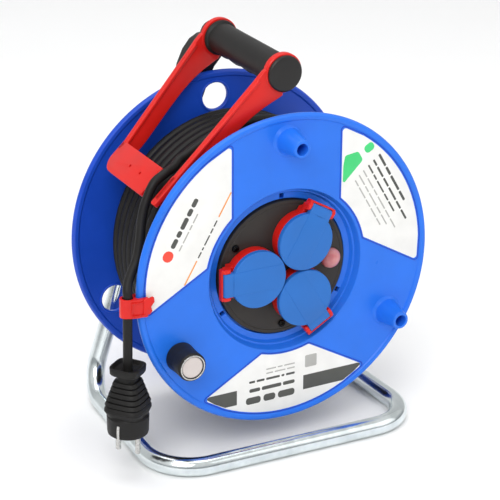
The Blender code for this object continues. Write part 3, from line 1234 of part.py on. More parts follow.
# ---------------------------------------------------------------- plug and clip
def build_plug(stand):
    place = empty("plug_place", (PLUG_X, PLUG_DEPTH, 0.0), 0.0, stand)
    place.rotation_euler = (0.0, 0.0, math.radians(PLUG_TURN))
    cup_floor = PLUG_COLLAR_TOP - PLUG_CUP_DEPTH
    collar_end = PLUG_COLLAR_END
    base_top = PLUG_BASE_TOP
    swell = PLUG_WIDEST_RADIUS - PLUG_NECK_RADIUS
    profile = [
        (0.0, cup_floor), (0.0112, cup_floor), (0.0134, PLUG_COLLAR_TOP), (0.0146, PLUG_COLLAR_TOP - 0.0006),
        (PLUG_COLLAR_RADIUS, PLUG_COLLAR_TOP - 0.0070), (PLUG_COLLAR_RADIUS - 0.0008, collar_end + 0.0035),
        (PLUG_COLLAR_RADIUS + 0.0002, collar_end + 0.0025), (PLUG_COLLAR_RADIUS - 0.0008, collar_end),
    ]
    pitch = (collar_end - 0.0008 - (base_top + 0.0012)) / PLUG_RIBS
    for i in range(PLUG_RIBS):
        share = (i + 0.5) / PLUG_RIBS
        radius = PLUG_NECK_RADIUS + swell * math.sin(min(1.0, share / 0.80) * math.pi / 2.0)
        top = collar_end - 0.0008 - i * pitch
        profile += [(radius - 0.0014, top), (radius, top - pitch * 0.30), (radius, top - pitch * 0.88)]
    profile += [
        (PLUG_FACE_RADIUS + 0.0010, base_top), (PLUG_FACE_RADIUS + 0.0006, base_top - 0.0008),
        (PLUG_FACE_RADIUS, PLUG_FACE_HEIGHT + 0.0032), (PLUG_FACE_RADIUS - 0.0020, PLUG_FACE_HEIGHT),
        (0.0, PLUG_FACE_HEIGHT),
    ]
    plug = turned("plug_body", profile, 16, rubber(), place, axis="Z")
    for number, side in enumerate((-1.0, 1.0), start=1):
        x = side * PIN_SPACING / 2.0
        hole = cylinder("plug_pin_hole", PLUG_PIN_RADIUS + GAP, PLUG_FACE_HEIGHT - 0.002,
                        PLUG_FACE_HEIGHT + 0.008, None, place, axis="Z", centre=(x, 0.0), sides=10, cutter=True)
        cut(plug, hole)
        tip = PLUG_FACE_HEIGHT - PLUG_PIN_LENGTH
        turned("plug_pin_%d" % number, [
            (0.0, PLUG_FACE_HEIGHT + 0.008 - GAP), (PLUG_PIN_RADIUS, PLUG_FACE_HEIGHT + 0.008 - GAP),
            (PLUG_PIN_RADIUS, tip + 0.0010), (PLUG_PIN_RADIUS - 0.0010, tip), (0.0, tip),
        ], 10, steel(), place, axis="Z", centre=(x, 0.0, 0.0))
    for number, side in enumerate((-1.0, 1.0), start=1):
        low = min(side * 0.0172, side * 0.0205)
        high = max(side * 0.0172, side * 0.0205)
        notch = box("earth_notch", (-0.0026, low, PLUG_FACE_HEIGHT - 0.002),
                    (0.0026, high, base_top - 0.0035), None, place, cutter=True)
        cut(plug, notch)
        low = min(side * (0.0172 + GAP), side * 0.0186)
        high = max(side * (0.0172 + GAP), side * 0.0186)
        box("plug_earth_strip_%d" % number, (-0.0023, low, PLUG_FACE_HEIGHT + 0.0004),
            (0.0023, high, base_top - 0.0035 - GAP), steel(), place)


def build_clip(stand):
    """A snap clip that grips the cord and runs round the drum's front rim."""
    low = CLIP_MIDDLE - CLIP_HEIGHT / 2.0
    high = CLIP_MIDDLE + CLIP_HEIGHT / 2.0
    front_jaw = -0.0034
    back_jaw = 0.0104
    reach = -CLIP_REACH
    outline = [
        (reach, front_jaw + 0.0008), (reach - 0.0016, front_jaw - 0.0006), (reach - 0.0050, front_jaw),
        (-0.1460, front_jaw), (-0.1500, front_jaw + 0.0010), (-0.1565, 0.0000), (-0.1587, 0.0028),
        (-0.1587, 0.0062), (-0.1565, 0.0092), (-0.1500, back_jaw), (-0.1430, back_jaw),
        (-0.1405, back_jaw - 0.0006), (-0.1395, back_jaw - 0.0016), (-0.1395, 0.0040), (reach, 0.0040),
    ]
    clip = plate("cord_clip", outline, low, high, red(), stand, plane="XY")
    rim = turned("rim_way", [
        (0.1300, -0.00045), (0.1440, -0.00045), (0.14545, 0.0014), (0.14545, 0.0052), (0.1440, 0.00745),
        (0.1300, 0.00745),
    ], 80, None, stand, centre=(0.0, 0.0, DRUM_AXIS_HEIGHT), cutter=True)
    cut(clip, rim)
    hole = cylinder("clip_cord_way", CORD_RADIUS + CLIP_CORD_PLAY, low - 0.002, high + 0.002, None,
                    stand, axis="Z", centre=(PLUG_X, PLUG_DEPTH), sides=16, cutter=True)
    cut(clip, hole)


# ---------------------------------------------------------------- whole
def main():
    clear_scene()
    make_collections()
    stand = empty("stand", (0.0, RIM_Y, 0.0))
    drum = empty("drum", (0.0, RIM_Y, DRUM_AXIS_HEIGHT), DRUM_TURN)
    guide = empty("guide", (0.0, RIM_Y, GRIP_HEIGHT), GUIDE_ANGLE)
    bpy.context.view_layer.update()
    frame = build_frame(stand)
    build_axle(stand)
    build_drum(drum)
    build_sockets(drum)
    build_crank(drum)
    build_grip(stand, guide)
    build_guide(guide)
    build_bracket(stand, frame)
    build_cord(stand, drum)
    build_plug(stand)
    build_clip(stand)
    bpy.context.view_layer.update()
    print("front rim at y %.5f m" % RIM_Y)
    print("drum axis at z %.4f m, grip axis at z %.4f m" % (DRUM_AXIS_HEIGHT, GRIP_HEIGHT))


main()
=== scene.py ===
"""Looks of an extension cord reel, laid out as a Blender add-on and run as a script.

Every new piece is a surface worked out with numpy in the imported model's own frame: metres, +Z up,
front of the drum towards -Y. "Depth" below is the distance back from the front rim's foremost ring.
"""

import json
import math

import bmesh
import bpy
import numpy as np
from bpy.props import FloatProperty, FloatVectorProperty, PointerProperty
from mathutils import Matrix, Vector

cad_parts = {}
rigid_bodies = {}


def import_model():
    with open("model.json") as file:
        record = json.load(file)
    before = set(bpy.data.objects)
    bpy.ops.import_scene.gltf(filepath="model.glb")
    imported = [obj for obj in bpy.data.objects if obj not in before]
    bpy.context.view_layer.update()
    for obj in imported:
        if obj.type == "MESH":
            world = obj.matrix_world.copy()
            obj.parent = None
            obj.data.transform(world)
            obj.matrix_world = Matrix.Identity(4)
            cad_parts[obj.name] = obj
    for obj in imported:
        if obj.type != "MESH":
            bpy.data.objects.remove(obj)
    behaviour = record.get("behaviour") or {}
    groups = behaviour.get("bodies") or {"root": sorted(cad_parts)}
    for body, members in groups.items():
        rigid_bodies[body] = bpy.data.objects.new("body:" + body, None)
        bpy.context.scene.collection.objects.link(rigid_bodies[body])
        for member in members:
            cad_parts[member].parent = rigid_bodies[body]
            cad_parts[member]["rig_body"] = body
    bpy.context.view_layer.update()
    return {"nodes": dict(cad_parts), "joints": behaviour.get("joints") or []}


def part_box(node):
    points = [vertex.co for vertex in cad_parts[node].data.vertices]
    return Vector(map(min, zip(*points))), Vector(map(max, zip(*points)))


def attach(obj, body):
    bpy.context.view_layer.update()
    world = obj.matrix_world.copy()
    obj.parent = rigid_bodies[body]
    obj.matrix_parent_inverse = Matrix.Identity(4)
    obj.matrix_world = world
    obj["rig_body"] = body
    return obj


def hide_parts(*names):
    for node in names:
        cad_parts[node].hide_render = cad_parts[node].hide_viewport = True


bl_info = {
    "name": "Extension cord reel",
    "version": (1, 0, 0),
    "blender": (4, 5, 0),
    "location": "3D View > Sidebar > Cord reel",
    "description": "Builds the finished surfaces of a cord reel round its packed solids",
    "category": "Object",
}

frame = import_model()
JOINTS = {joint["name"]: joint for joint in frame["joints"]}

# ---------------------------------------------------------------- sizes that the solids also have
# lengths are in metres; a name that ends in FRONT, BACK or DEPTH is a depth, and one that ends in
# CIRCLE is the distance from the drum's axis
GAP = 0.0003
PEG_REACH = 0.0243
RIM_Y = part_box("drum_front")[0].y + PEG_REACH
DRUM_Z = JOINTS["drum_spin"]["pos_m"][2]
GRIP_Z = JOINTS["guide_swing"]["pos_m"][2]
DRUM_CENTRE = (0.0, DRUM_Z)
GRIP_CENTRE = (0.0, GRIP_Z)
# angles are in degrees, clockwise from the top and seen from the front; at rest the drum has turned
DRUM_TURN = -1.0
SPOKES = (0.0, 120.0, 240.0)
BETWEEN = (60.0, 180.0, 300.0)
SOCKETS = (270.0, 30.0, 150.0)
PEG_CIRCLE = 0.1209
FACE = 0.0016
FLANGE_BACK = 0.0052
FILM_FRONT = FACE - 0.00008
INK_FRONT = FACE - 0.00013
LABEL_INNER = 0.079
LABEL_OUTER = 0.1375
SPOKE_HALF = 0.053
PANEL_FRONT = 0.0094
SOCKET_CIRCLE = 0.0309
RING_FRONT = -0.0012
RING_BACK = 0.0091
LID_FRONT = -0.0066
LID_BACK = -0.0015
HINGE_CIRCLE = 0.0615
HINGE_DEPTH = -0.0032
TAB_HALF = 0.011
CHEEK = 0.0032
BUTTON_CIRCLE = 0.049
BUTTON_ANGLE = 90.0
PANEL_SCREW_CIRCLE = 0.0538
DRUM_SCREW_CIRCLE = 0.0605
SCREW_HEAD = 0.0022
REAR_DEPTH = 0.1396
REAR_HOLE_CIRCLE = 0.1205
REAR_HOLE = 0.0128
# how far the arms hang from the grip's plumb line, towards the left, in degrees
GUIDE_ANGLE = 45.6
ARM_SIDE = 0.0153
CORD_RADIUS = 0.00415
STRAND = 0.113 - CORD_RADIUS
WINDING_TURNS = 12
WINDING_PITCH = 0.0095
PLUG_X = -0.1518
PLUG_DEPTH = 0.0045
PLUG_TURN = -52.0
SHARP_ANGLE = 35.0

# a given route, as in the solids: angle round the drum's axis, radius, depth
CORD_ROUTE = (
    (-43.4, 0.1335, 0.0415), (-47.2, 0.1403, 0.0345), (-52.0, 0.1455, 0.0312), (-58.0, 0.1445, 0.0292),
    (-64.0, 0.1425, 0.0265), (-71.5, 0.1400, 0.0208), (-78.0, 0.1405, 0.0170), (-82.2, 0.1452, 0.0132),
    (-85.2, 0.1498, 0.0088), (-87.3, 0.1517, 0.0057),
)


# ---------------------------------------------------------------- properties
class ReelSizes(bpy.types.PropertyGroup):
    """Fine sizes of the finish that the solids leave out."""

    # the bead is a real raised ring; its darker blue paints the shade line at the edge of each label's recess
    bead: FloatProperty(name="Label bead", description="Radius of the bead round each label", default=0.0006,
                        min=0.0002, max=0.002, unit="LENGTH")
    relief: FloatProperty(name="Lid relief", description="Height of the raised band on a lid",
                          default=0.00025, min=0.0, max=0.001, unit="LENGTH")


def linear(colour):
    """An sRGB hex colour as linear RGBA."""
    values = [int(colour[i:i + 2], 16) / 255.0 for i in (1, 3, 5)]
    return tuple(v / 12.92 if v <= 0.04045 else ((v + 0.055) / 1.055) ** 2.4 for v in values) + (1.0,)


def main_colour(name, description, colour):
    """A colour property with an sRGB hex default."""
    return FloatVectorProperty(name=name, description=description, default=linear(colour)[:3], size=3,
                               min=0.0, max=1.0, subtype="COLOR")


class ReelColours(bpy.types.PropertyGroup):
    """Main colours: each plastic's lighter shade."""

    flange: main_colour("Front flange", "Colour of the front flange and barrel", "#2473e6")
    # the rear colour is painted shade: the front's plastic made darker for the shade between the flanges
    rear: main_colour("Rear flange", "Colour of the rear flange and the labels' beads", "#1b4dc5")
    lids: main_colour("Lids", "Colour of the socket lids", "#296ebf")
    red: main_colour("Red parts", "Colour of the guide, rings and clip", "#da1f18")
    floor: main_colour("Floor", "Colour of the studio floor", "#fcfcfc")


# ---------------------------------------------------------------- numpy surfaces
def polar(radius, angle, depth=0.0):
    """A place on the drum at rest: angle in degrees clockwise from the top, seen from the front."""
    turn = np.radians(np.asarray(angle, float) + DRUM_TURN)
    x = radius * np.sin(turn)
    z = DRUM_Z + radius * np.cos(turn)
    return np.stack(np.broadcast_arrays(x, RIM_Y + np.asarray(depth, float), z), axis=-1)


def spot(radius, angle):
    """The (x, z) of a place on the drum at rest."""
    place = polar(radius, angle)
    return place[0], place[2]


def rounded_outline(corners, steps=5):
    """Corners (u, v, radius) joined by straight runs and tangent arcs, as an (n, 2) array.

    Each arc is the normalised blend of its two tangent points, set at the radius from the arc's
    centre, which lies on the corner's bisector."""
    points = np.array([c[:2] for c in corners], float)
    radii = np.array([c[2] for c in corners], float)
    back = np.roll(points, 1, axis=0) - points
    ahead = np.roll(points, -1, axis=0) - points
    back_length = np.linalg.norm(back, axis=1, keepdims=True)
    ahead_length = np.linalg.norm(ahead, axis=1, keepdims=True)
    back = back / back_length
    ahead = ahead / ahead_length
    half = np.arccos(np.clip((back * ahead).sum(axis=1), -0.9999, 0.9999)) / 2.0
    most = np.minimum(back_length, ahead_length)[:, 0] * 0.45
    reach = np.minimum(radii / np.tan(half), most)
    radii = reach * np.tan(half)
    way = back + ahead
    way = way / np.maximum(np.linalg.norm(way, axis=1, keepdims=True), 1e-9)
    centre = points + way * (radii / np.sin(half))[:, None]
    share = np.linspace(0.0, 1.0, steps)[None, :, None]
    start = (points + back * reach[:, None])[:, None]
    end = (points + ahead * reach[:, None])[:, None]
    chord = start * (1.0 - share) + end * share
    spoke = chord - centre[:, None]
    spoke = spoke / np.maximum(np.linalg.norm(spoke, axis=2, keepdims=True), 1e-12)
    found = centre[:, None] + spoke * radii[:, None, None]
    found = np.where(radii[:, None, None] > 1e-9, found, points[:, None])
    return found.reshape(-1, 2)


def smooth_line(points, count, closed=False):
    """A Catmull-Rom curve through the points, read at count even steps of its parameter."""
    points = np.asarray(points, float)
    last = len(points) if closed else len(points) - 1
    t = np.linspace(0.0, last, count, endpoint=not closed)
    i = np.minimum(np.floor(t).astype(int), last - 1)
    f = (t - i)[:, None]
    if closed:
        a, b, c, d = (points[(i + k) % len(points)] for k in (-1, 0, 1, 2))
    else:
        ends = np.vstack([2.0 * points[0] - points[1], points, 2.0 * points[-1] - points[-2]])
        a, b, c, d = (ends[i + k] for k in (0, 1, 2, 3))
    return 0.5 * (2.0 * b + (c - a) * f + (2.0 * a - 5.0 * b + 4.0 * c - d) * f ** 2
                  + (3.0 * b - a - 3.0 * c + d) * f ** 3)


def grid_faces(rows, columns, close_rows, close_columns):
    """Quads of a rows x columns grid, wrapped round where it is closed."""
    r = np.arange(rows if close_rows else rows - 1)
    c = np.arange(columns if close_columns else columns - 1)
    r, c = np.meshgrid(r, c, indexing="ij")
    r2 = (r + 1) % rows
    c2 = (c + 1) % columns
    quads = np.stack([r * columns + c, r * columns + c2, r2 * columns + c2, r2 * columns + c], axis=-1)
    return quads.reshape(-1, 4).tolist()


def capped_faces(rows, columns):
    """Quads of a band that is closed round, with a flat face over its first and its last row."""
    total = rows * columns
    ends = [list(range(columns)), list(range(total - columns, total))]
    return grid_faces(rows, columns, False, True) + ends


def around(count):
    """Even angles once round."""
    return np.linspace(0.0, math.tau, count, endpoint=False)


def oval(u, v, across, along, count):
    """An oval outline: across times the cosine and along times the sine, round (u, v)."""
    turn = around(count)
    return np.stack([u + across * np.cos(turn), v + along * np.sin(turn)], axis=1)


def finish_mesh(name, points, faces, finish, body, sharp=SHARP_ANGLE):
    """Points and faces as a closed, smooth piece of one finish that rides on a body."""
    mat, slot = look(finish)
    mesh = bpy.data.meshes.new(name)
    mesh.from_pydata(np.asarray(points, float).reshape(-1, 3).tolist(), [], faces)
    bm = bmesh.new()
    bm.from_mesh(mesh)
    bmesh.ops.remove_doubles(bm, verts=bm.verts, dist=1e-7)
    bmesh.ops.dissolve_degenerate(bm, edges=bm.edges, dist=1e-8)
    bmesh.ops.recalc_face_normals(bm, faces=bm.faces)
    bm.to_mesh(mesh)
    bm.free()
    mesh.shade_smooth()
    mesh.set_sharp_from_angle(angle=math.radians(sharp))
    obj = bpy.data.objects.new(name, mesh)
    bpy.context.scene.collection.objects.link(obj)
    mesh.materials.append(mat)
    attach(obj, body)
    return obj


def revolve(profile, centre, sides):
    """Rings of a profile (radius, depth): each turns evenly round the axis through centre (x, z)."""
    profile = np.asarray(profile, float)
    turn = around(sides)
    r = profile[:, :1]
    d = np.broadcast_to(profile[:, 1:], (len(profile), sides))
    return np.stack([centre[0] + r * np.sin(turn), RIM_Y + d, centre[1] + r * np.cos(turn)], axis=-1)


def turned_piece(name, profile, centre, finish, body, sides, closed=False):
    """A turned piece: the profile is closed on itself, or starts and ends on the axis."""
    rings = revolve(profile, centre, sides)
    return finish_mesh(name, rings, grid_faces(len(profile), sides, closed, True), finish, body)


def tube_rings(path, radius, sides):
    """Circles round a path: their plane is square to its mean direction at each station, and their
    start is the cross product of that direction with one fixed slanted vector."""
    path = np.asarray(path, float)
    way = np.gradient(path, axis=0)
    way = way / np.linalg.norm(way, axis=1, keepdims=True)
    side = np.cross(way, np.array([0.577, 0.577, 0.577]))
    side = side / np.linalg.norm(side, axis=1, keepdims=True)
    up = np.cross(way, side)
    turn = around(sides)
    radius = np.broadcast_to(np.asarray(radius, float), (len(path),))
    ring = np.cos(turn)[None, :, None] * side[:, None] + np.sin(turn)[None, :, None] * up[:, None]
    return path[:, None] + ring * radius[:, None, None]


def tube_piece(name, path, radius, finish, body, sides):
    """A round bar along a path, its ends closed by flat faces."""
    rings = tube_rings(path, radius, sides)
    return finish_mesh(name, rings, capped_faces(len(path), sides), finish, body)


def plate_rings(outline, low, high, edge, steps=4):
    """Rings (u, v, w) of a plate with rounded edges: the outline is drawn in along its own normals
    by edge times one minus the sine of the roll, while w climbs by the cosine."""
    outline = np.asarray(outline, float)
    way = np.roll(outline, -1, axis=0) - np.roll(outline, 1, axis=0)
    way = way / np.maximum(np.linalg.norm(way, axis=1, keepdims=True), 1e-12)
    x, y = outline[:, 0], outline[:, 1]
    area = 0.5 * np.sum(x * np.roll(y, -1) - np.roll(x, -1) * y)
    inwards = np.stack([-way[:, 1], way[:, 0]], axis=1) * (1.0 if area > 0.0 else -1.0)
    roll = np.linspace(0.0, math.pi / 2.0, steps)
    inset = np.concatenate([edge * (1.0 - np.sin(roll)), edge * (1.0 - np.sin(roll[::-1]))])
    level = np.concatenate([low + edge * (1.0 - np.cos(roll)), high - edge * (1.0 - np.cos(roll[::-1]))])
    flat = outline[None] + inwards[None] * inset[:, None, None]
    return np.concatenate([flat, np.broadcast_to(level[:, None, None], flat.shape[:2] + (1,))], axis=2)


def plate_piece(name, outline, low, high, edge, place, finish, body):
    """A moulded plate: place turns its (u, v, w) rings into world points; flat ends close it."""
    rings = plate_rings(outline, low, high, edge)
    return finish_mesh(name, place(rings), capped_faces(*rings.shape[:2]), finish, body)


def cutter_rings(outline, low, high):
    """Rings (u, v, w) of a plain block with nearly sharp edges, to cut with."""
    return plate_rings(outline, low, high, 0.00001, 2)


def rectangle(half_u, low_v, high_v):
    """The corners of a rectangle that is centred across u."""
    return [(-half_u, low_v), (half_u, low_v), (half_u, high_v), (-half_u, high_v)]


def edgewise(place):
    """The same place for a plate on its edge: its thickness w runs along the place's first axis."""
    def turned(rings):
        return place(np.stack([rings[..., 2], rings[..., 0], rings[..., 1]], axis=-1))

    return turned


def joined(name, pieces):
    """Several closed surfaces of one moulding as one object."""
    for piece in pieces:
        piece.select_set(True)
    bpy.context.view_layer.objects.active = pieces[0]
    with bpy.context.temp_override(active_object=pieces[0], selected_editable_objects=pieces,
                                   selected_objects=pieces):
        bpy.ops.object.join()
    pieces[0].name = name
    pieces[0].data.name = name
    pieces[0].select_set(False)
    return pieces[0]


def socket_place(angle):
    """Maps (local x, outward distance, depth) at a socket of the given angle to world points."""
    turn = math.radians(angle + DRUM_TURN)

    def place(rings):
        x = rings[..., 0] * math.cos(turn) + rings[..., 1] * math.sin(turn)
        z = -rings[..., 0] * math.sin(turn) + rings[..., 1] * math.cos(turn)
        return np.stack([x, RIM_Y + rings[..., 2], DRUM_Z + z], axis=-1)

    return place


def guide_place(rings, lean=(0.0, 1.0, 0.0)):
    """Maps (n, s, depth) of an arm to world points: s runs from the grip's axis along the arm, n
    outwards from it. The arm leans by a share of lean's travel between lean's two stations."""
    turn = math.radians(GUIDE_ANGLE)
    n, s, depth = rings[..., 0], rings[..., 1], rings[..., 2]
    share = np.clip((s - lean[0]) / (lean[1] - lean[0]), 0.0, 1.0)
    x = -n * math.cos(turn) - s * math.sin(turn)
    z = n * math.sin(turn) - s * math.cos(turn)
    return np.stack([x, RIM_Y + depth + lean[2] * share, GRIP_Z + z], axis=-1)


def softened_copy(node, name, finish, width):
    """A copy of a solid with its points merged, its flats made one and its edges rounded."""
    mat, slot = look(finish)
    source = frame["nodes"][node]
    bm = bmesh.new()
    bm.from_mesh(source.data)
    bmesh.ops.remove_doubles(bm, verts=bm.verts, dist=1e-6)
    bmesh.ops.dissolve_limit(bm, angle_limit=math.radians(1.0), verts=bm.verts, edges=bm.edges)
    mesh = bpy.data.meshes.new(name)
    bm.to_mesh(mesh)
    bm.free()
    mesh.shade_smooth()
    mesh.set_sharp_from_angle(angle=math.radians(50.0))
    mesh.materials.clear()
    mesh.materials.append(mat)
    obj = bpy.data.objects.new(name, mesh)
    bpy.context.scene.collection.objects.link(obj)
    bevel = obj.modifiers.new("edges", "BEVEL")
    bevel.width = width
    bevel.segments = 3
    bevel.limit_method = "ANGLE"
    bevel.angle_limit = math.radians(SHARP_ANGLE)
    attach(obj, source["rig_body"])
    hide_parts(node)
    return obj


# ---------------------------------------------------------------- materials
def add(tree, kind, settings=(), **inputs):
    """A node with its settings and its inputs, which are named, or numbered as i0, i1 and so on: a
    value sets the input, and another node's output is linked to it."""
    made = tree.nodes.new(kind)
    for key, value in settings:
        setattr(made, key, value)
    for key, value in inputs.items():
        by_number = key[0] == "i" and key[1:].isdigit()
        socket = made.inputs[int(key[1:]) if by_number else key.replace("_", " ")]
        if isinstance(value, bpy.types.NodeSocket):
            tree.links.new(value, socket)
        else:
            socket.default_value = value
    return made


def new_material(name):
    """A new material with its tree and its shader, which is joined to the output."""
    mat = bpy.data.materials.new(name)
    mat.use_nodes = True
    tree = mat.node_tree
    shader = tree.nodes["Principled BSDF"]
    return mat, tree, shader


def ramp(tree, factor, stops):
    """A colour ramp from (place, linear colour) stops, as its colour output."""
    made = add(tree, "ShaderNodeValToRGB", i0=factor)
    while len(made.color_ramp.elements) < len(stops):
        made.color_ramp.elements.new(0.5)
    for element, (place, colour) in zip(made.color_ramp.elements, stops):
        element.position = place
        element.color = colour
    return made.outputs["Color"]


def per_metre(millimetres):
    """The pattern scale that makes one feature this many millimetres wide."""
    return 1000.0 / millimetres


def shade(colour, share):
    """A linear colour made darker or lighter by a share."""
    return tuple(min(1.0, c * share) for c in colour[:3]) + (1.0,)


def user_colour(name):
    """A main colour from the scene's properties, as linear RGBA."""
    return tuple(getattr(bpy.context.scene.reel_colours, name)) + (1.0,)


def moulded(name, light, dark, roughness, grain_mm, depth_mm, coat, shine):
    """Injection-moulded plastic: colour clouds slowly between two near shades, and a fine eroded
    grain, drawn coarse enough to show, breaks the gloss and lifts the surface a little."""
    mat, tree, shader = new_material(name)
    where = add(tree, "ShaderNodeTexCoord").outputs["Object"]
    cloud = add(tree, "ShaderNodeTexNoise", Vector=where, Scale=per_metre(35.0), Detail=3.0).outputs["Fac"]
    grain = add(tree, "ShaderNodeTexNoise", Vector=where, Scale=per_metre(grain_mm),
                Detail=2.0).outputs["Fac"]
    tree.links.new(ramp(tree, cloud, [(0.35, dark), (0.65, light)]), shader.inputs["Base Color"])
    gloss = add(tree, "ShaderNodeMapRange", i0=cloud, i1=0.3, i2=0.7, i3=roughness - 0.07,
                i4=roughness + 0.07)
    tree.links.new(gloss.outputs[0], shader.inputs["Roughness"])
    bump = add(tree, "ShaderNodeBump", Height=grain, Strength=0.35, Distance=depth_mm / 1000.0)
    tree.links.new(bump.outputs[0], shader.inputs["Normal"])
    shader.inputs["IOR"].default_value = 1.49
    shader.inputs["Specular IOR Level"].default_value = shine
    if coat > 0.0:
        shader.inputs["Coat Weight"].default_value = coat
        shader.inputs["Coat Roughness"].default_value = 0.15
    return mat


def metal(name, light, dark, roughness, streak_mm, stretch, spread=0.08):
    """Metal: its tone and gloss run in streaks whose width is streak_mm, stretched along the work."""
    mat, tree, shader = new_material(name)
    where = add(tree, "ShaderNodeTexCoord").outputs["Object"]
    scaled = add(tree, "ShaderNodeMapping", Vector=where, Scale=stretch).outputs[0]
    streak = add(tree, "ShaderNodeTexNoise", Vector=scaled, Scale=per_metre(streak_mm),
                 Detail=4.0).outputs["Fac"]
    tree.links.new(ramp(tree, streak, [(0.35, linear(dark)), (0.65, linear(light))]),
                   shader.inputs["Base Color"])
    gloss = add(tree, "ShaderNodeMapRange", i0=streak, i1=0.3, i2=0.7, i3=roughness - spread,
                i4=roughness + spread)
    tree.links.new(gloss.outputs[0], shader.inputs["Roughness"])
    shader.inputs["Metallic"].default_value = 1.0
    return mat


def clear_silicone():
    """Clear pink silicone cap: light passes in and scatters, so it glows pale at its edges."""
    mat, tree, shader = new_material("clear_pink_silicone")
    where = add(tree, "ShaderNodeTexCoord").outputs["Object"]
    cloud = add(tree, "ShaderNodeTexNoise", Vector=where, Scale=per_metre(9.0), Detail=2.0).outputs["Fac"]
    tree.links.new(ramp(tree, cloud, [(0.3, linear("#d98287")), (0.7, linear("#eba7a6"))]),
                   shader.inputs["Base Color"])
    shader.inputs["Roughness"].default_value = 0.22
    shader.inputs["IOR"].default_value = 1.41
    shader.inputs["Transmission Weight"].default_value = 0.25
    shader.inputs["Subsurface Weight"].default_value = 0.35
    shader.inputs["Subsurface Radius"].default_value = (0.004, 0.0015, 0.0015)
    return mat


def coated_label():
    """Film label: smooth white print stock with a faint warm mottle and a soft gloss."""
    mat, tree, shader = new_material("white_film_label")
    where = add(tree, "ShaderNodeTexCoord").outputs["Object"]
    cloud = add(tree, "ShaderNodeTexNoise", Vector=where, Scale=per_metre(18.0), Detail=3.0).outputs["Fac"]
    tree.links.new(ramp(tree, cloud, [(0.3, linear("#e8e7e3")), (0.7, linear("#f0efeb"))]),
                   shader.inputs["Base Color"])
    shader.inputs["Roughness"].default_value = 0.38
    return mat


def moulded_hex(name, light, dark, roughness, grain_mm=0.6, depth_mm=0.03, coat=0.0, shine=0.5):
    """Moulded plastic or rubber given by two sRGB shades."""
    return moulded(name, linear(light), linear(dark), roughness, grain_mm, depth_mm, coat, shine)


def moulded_user(name, colour, darker, roughness, coat=0.0):
    """Moulded plastic in one of the user's main colours."""
    light = user_colour(colour)
    return moulded(name, light, shade(light, darker), roughness, 0.5, 0.02, coat, 0.3)


# a finish's slot in the record, the function that makes it and what that function is given:
# moulded_user takes a name, a main colour, how dark its other shade is, roughness and coat;
# moulded_hex a name, two shades, roughness, grain and its depth in mm, coat and shine;
# metal a name, two shades, roughness, streak width in mm, stretch and the spread of its gloss
FINISHES = {
    # polypropylene, satin from the mould: a saturated mid blue that reflects the room softly
    "front blue": ("front_blue_plastic", moulded_user, "front_blue_polypropylene", "flange", 0.93, 0.34,
                   0.08),
    # the same plastic with a darker base colour, which paints the shade that falls between the two flanges;
    # the labels' beads take it to paint the shade line at their edges
    "rear blue": ("rear_blue_plastic", moulded_user, "rear_blue_polypropylene", "rear", 0.90, 0.36, 0.06),
    # the same plastic in a greyer blue, its mould etched, so it shines less
    "lid blue": ("lid_blue_plastic", moulded_user, "lid_blue_polypropylene", "lids", 0.93, 0.48),
    # the same plastic in a strong red, which looks nearly even
    "red": ("red_plastic", moulded_user, "signal_red_polypropylene", "red", 0.90, 0.34, 0.06),
    # glass-filled polyamide: dull, with a brownish cast
    "panel black": ("black_plastic", moulded_hex, "warm_black_polyamide", "#34302c", "#2d2a27", 0.5,
                    0.6, 0.03, 0.0, 0.3),
    # polyamide from a smoother mould: neutral and a little glossier
    "insert black": ("socket_black_plastic", moulded_hex, "socket_black_polyamide", "#262627", "#202021",
                     0.42),
    # the same plastic with a warmer cast
    "black": ("black_plastic", moulded_hex, "black_polyamide", "#232120", "#1c1b1a", 0.42, 0.6, 0.03, 0.0,
              0.35),
    # soft moulded rubber: matt, with a grain that catches light at its edge
    "grip rubber": ("black_rubber", moulded_hex, "grip_rubber", "#201f1e", "#191817", 0.5, 0.7, 0.05, 0.0,
                    0.3),
    # extruded rubber: matt, with a slight bloom
    "cord rubber": ("black_rubber", moulded_hex, "cord_rubber", "#1e1d1c", "#161515", 0.5, 0.8, 0.05, 0.0,
                    0.25),
    # zinc plate over drawn steel: bright, with broad faint clouds along the tube
    "zinc": ("zinc_steel", metal, "bright_zinc_plate", "#e9f0f1", "#d3dbdc", 0.18, 14.0, (1.0, 0.3, 1.0),
             0.04),
    # turned and pressed steel: duller, with fine streaks from the tool
    "steel": ("bright_steel", metal, "bright_steel", "#cfcecb", "#b5b4b1", 0.28, 1.5, (1.0, 0.3, 1.0)),
    # powder coat on sheet steel: an even satin black with a fine orange peel
    "black steel": ("black_steel", moulded_hex, "black_painted_steel", "#1b1b1c", "#141415", 0.42, 0.9, 0.04,
                    0.2),
    # oil-blackened screws: dark metal that still glints
    "dark steel": ("dark_steel", metal, "blackened_steel", "#242322", "#171616", 0.34, 1.2, (1.0, 1.0, 1.0)),
    # undyed polyamide: a warm near-white, satin from the mould
    "pale": ("pale_plastic", moulded_hex, "pale_polyamide", "#e3dedb", "#d8d3d0", 0.42),
    # the knob's disc: a pale warm grey, smooth from the mould
    "badge": ("pale_plastic", moulded_hex, "grey_badge_polyamide", "#d0c6c1", "#c4bab6", 0.3),
    # the clear cap and the film have functions of their own
    "pink": ("pink_rubber", clear_silicone),
    "label": ("pale_plastic", coated_label),
    # screen-printed inks: flat and even on the film
    "red ink": ("red_plastic", moulded_hex, "red_print_ink", "#f04a35", "#e7422f", 0.4, 0.8, 0.005),
    "grey ink": ("black_plastic", moulded_hex, "dark_grey_print_ink", "#4d4e49", "#454642", 0.4, 0.8, 0.005),
    "light ink": ("pale_plastic", moulded_hex, "light_grey_print_ink", "#b4b3ae", "#aaa9a4", 0.4, 0.8, 0.005),
    "green ink": ("pale_plastic", moulded_hex, "green_print_ink", "#45d980", "#3ccb74", 0.4, 0.8, 0.005),
    "orange ink": ("red_plastic", moulded_hex, "orange_print_ink", "#f0a355", "#e0883a", 0.4, 0.8, 0.005),
}
MADE = {}


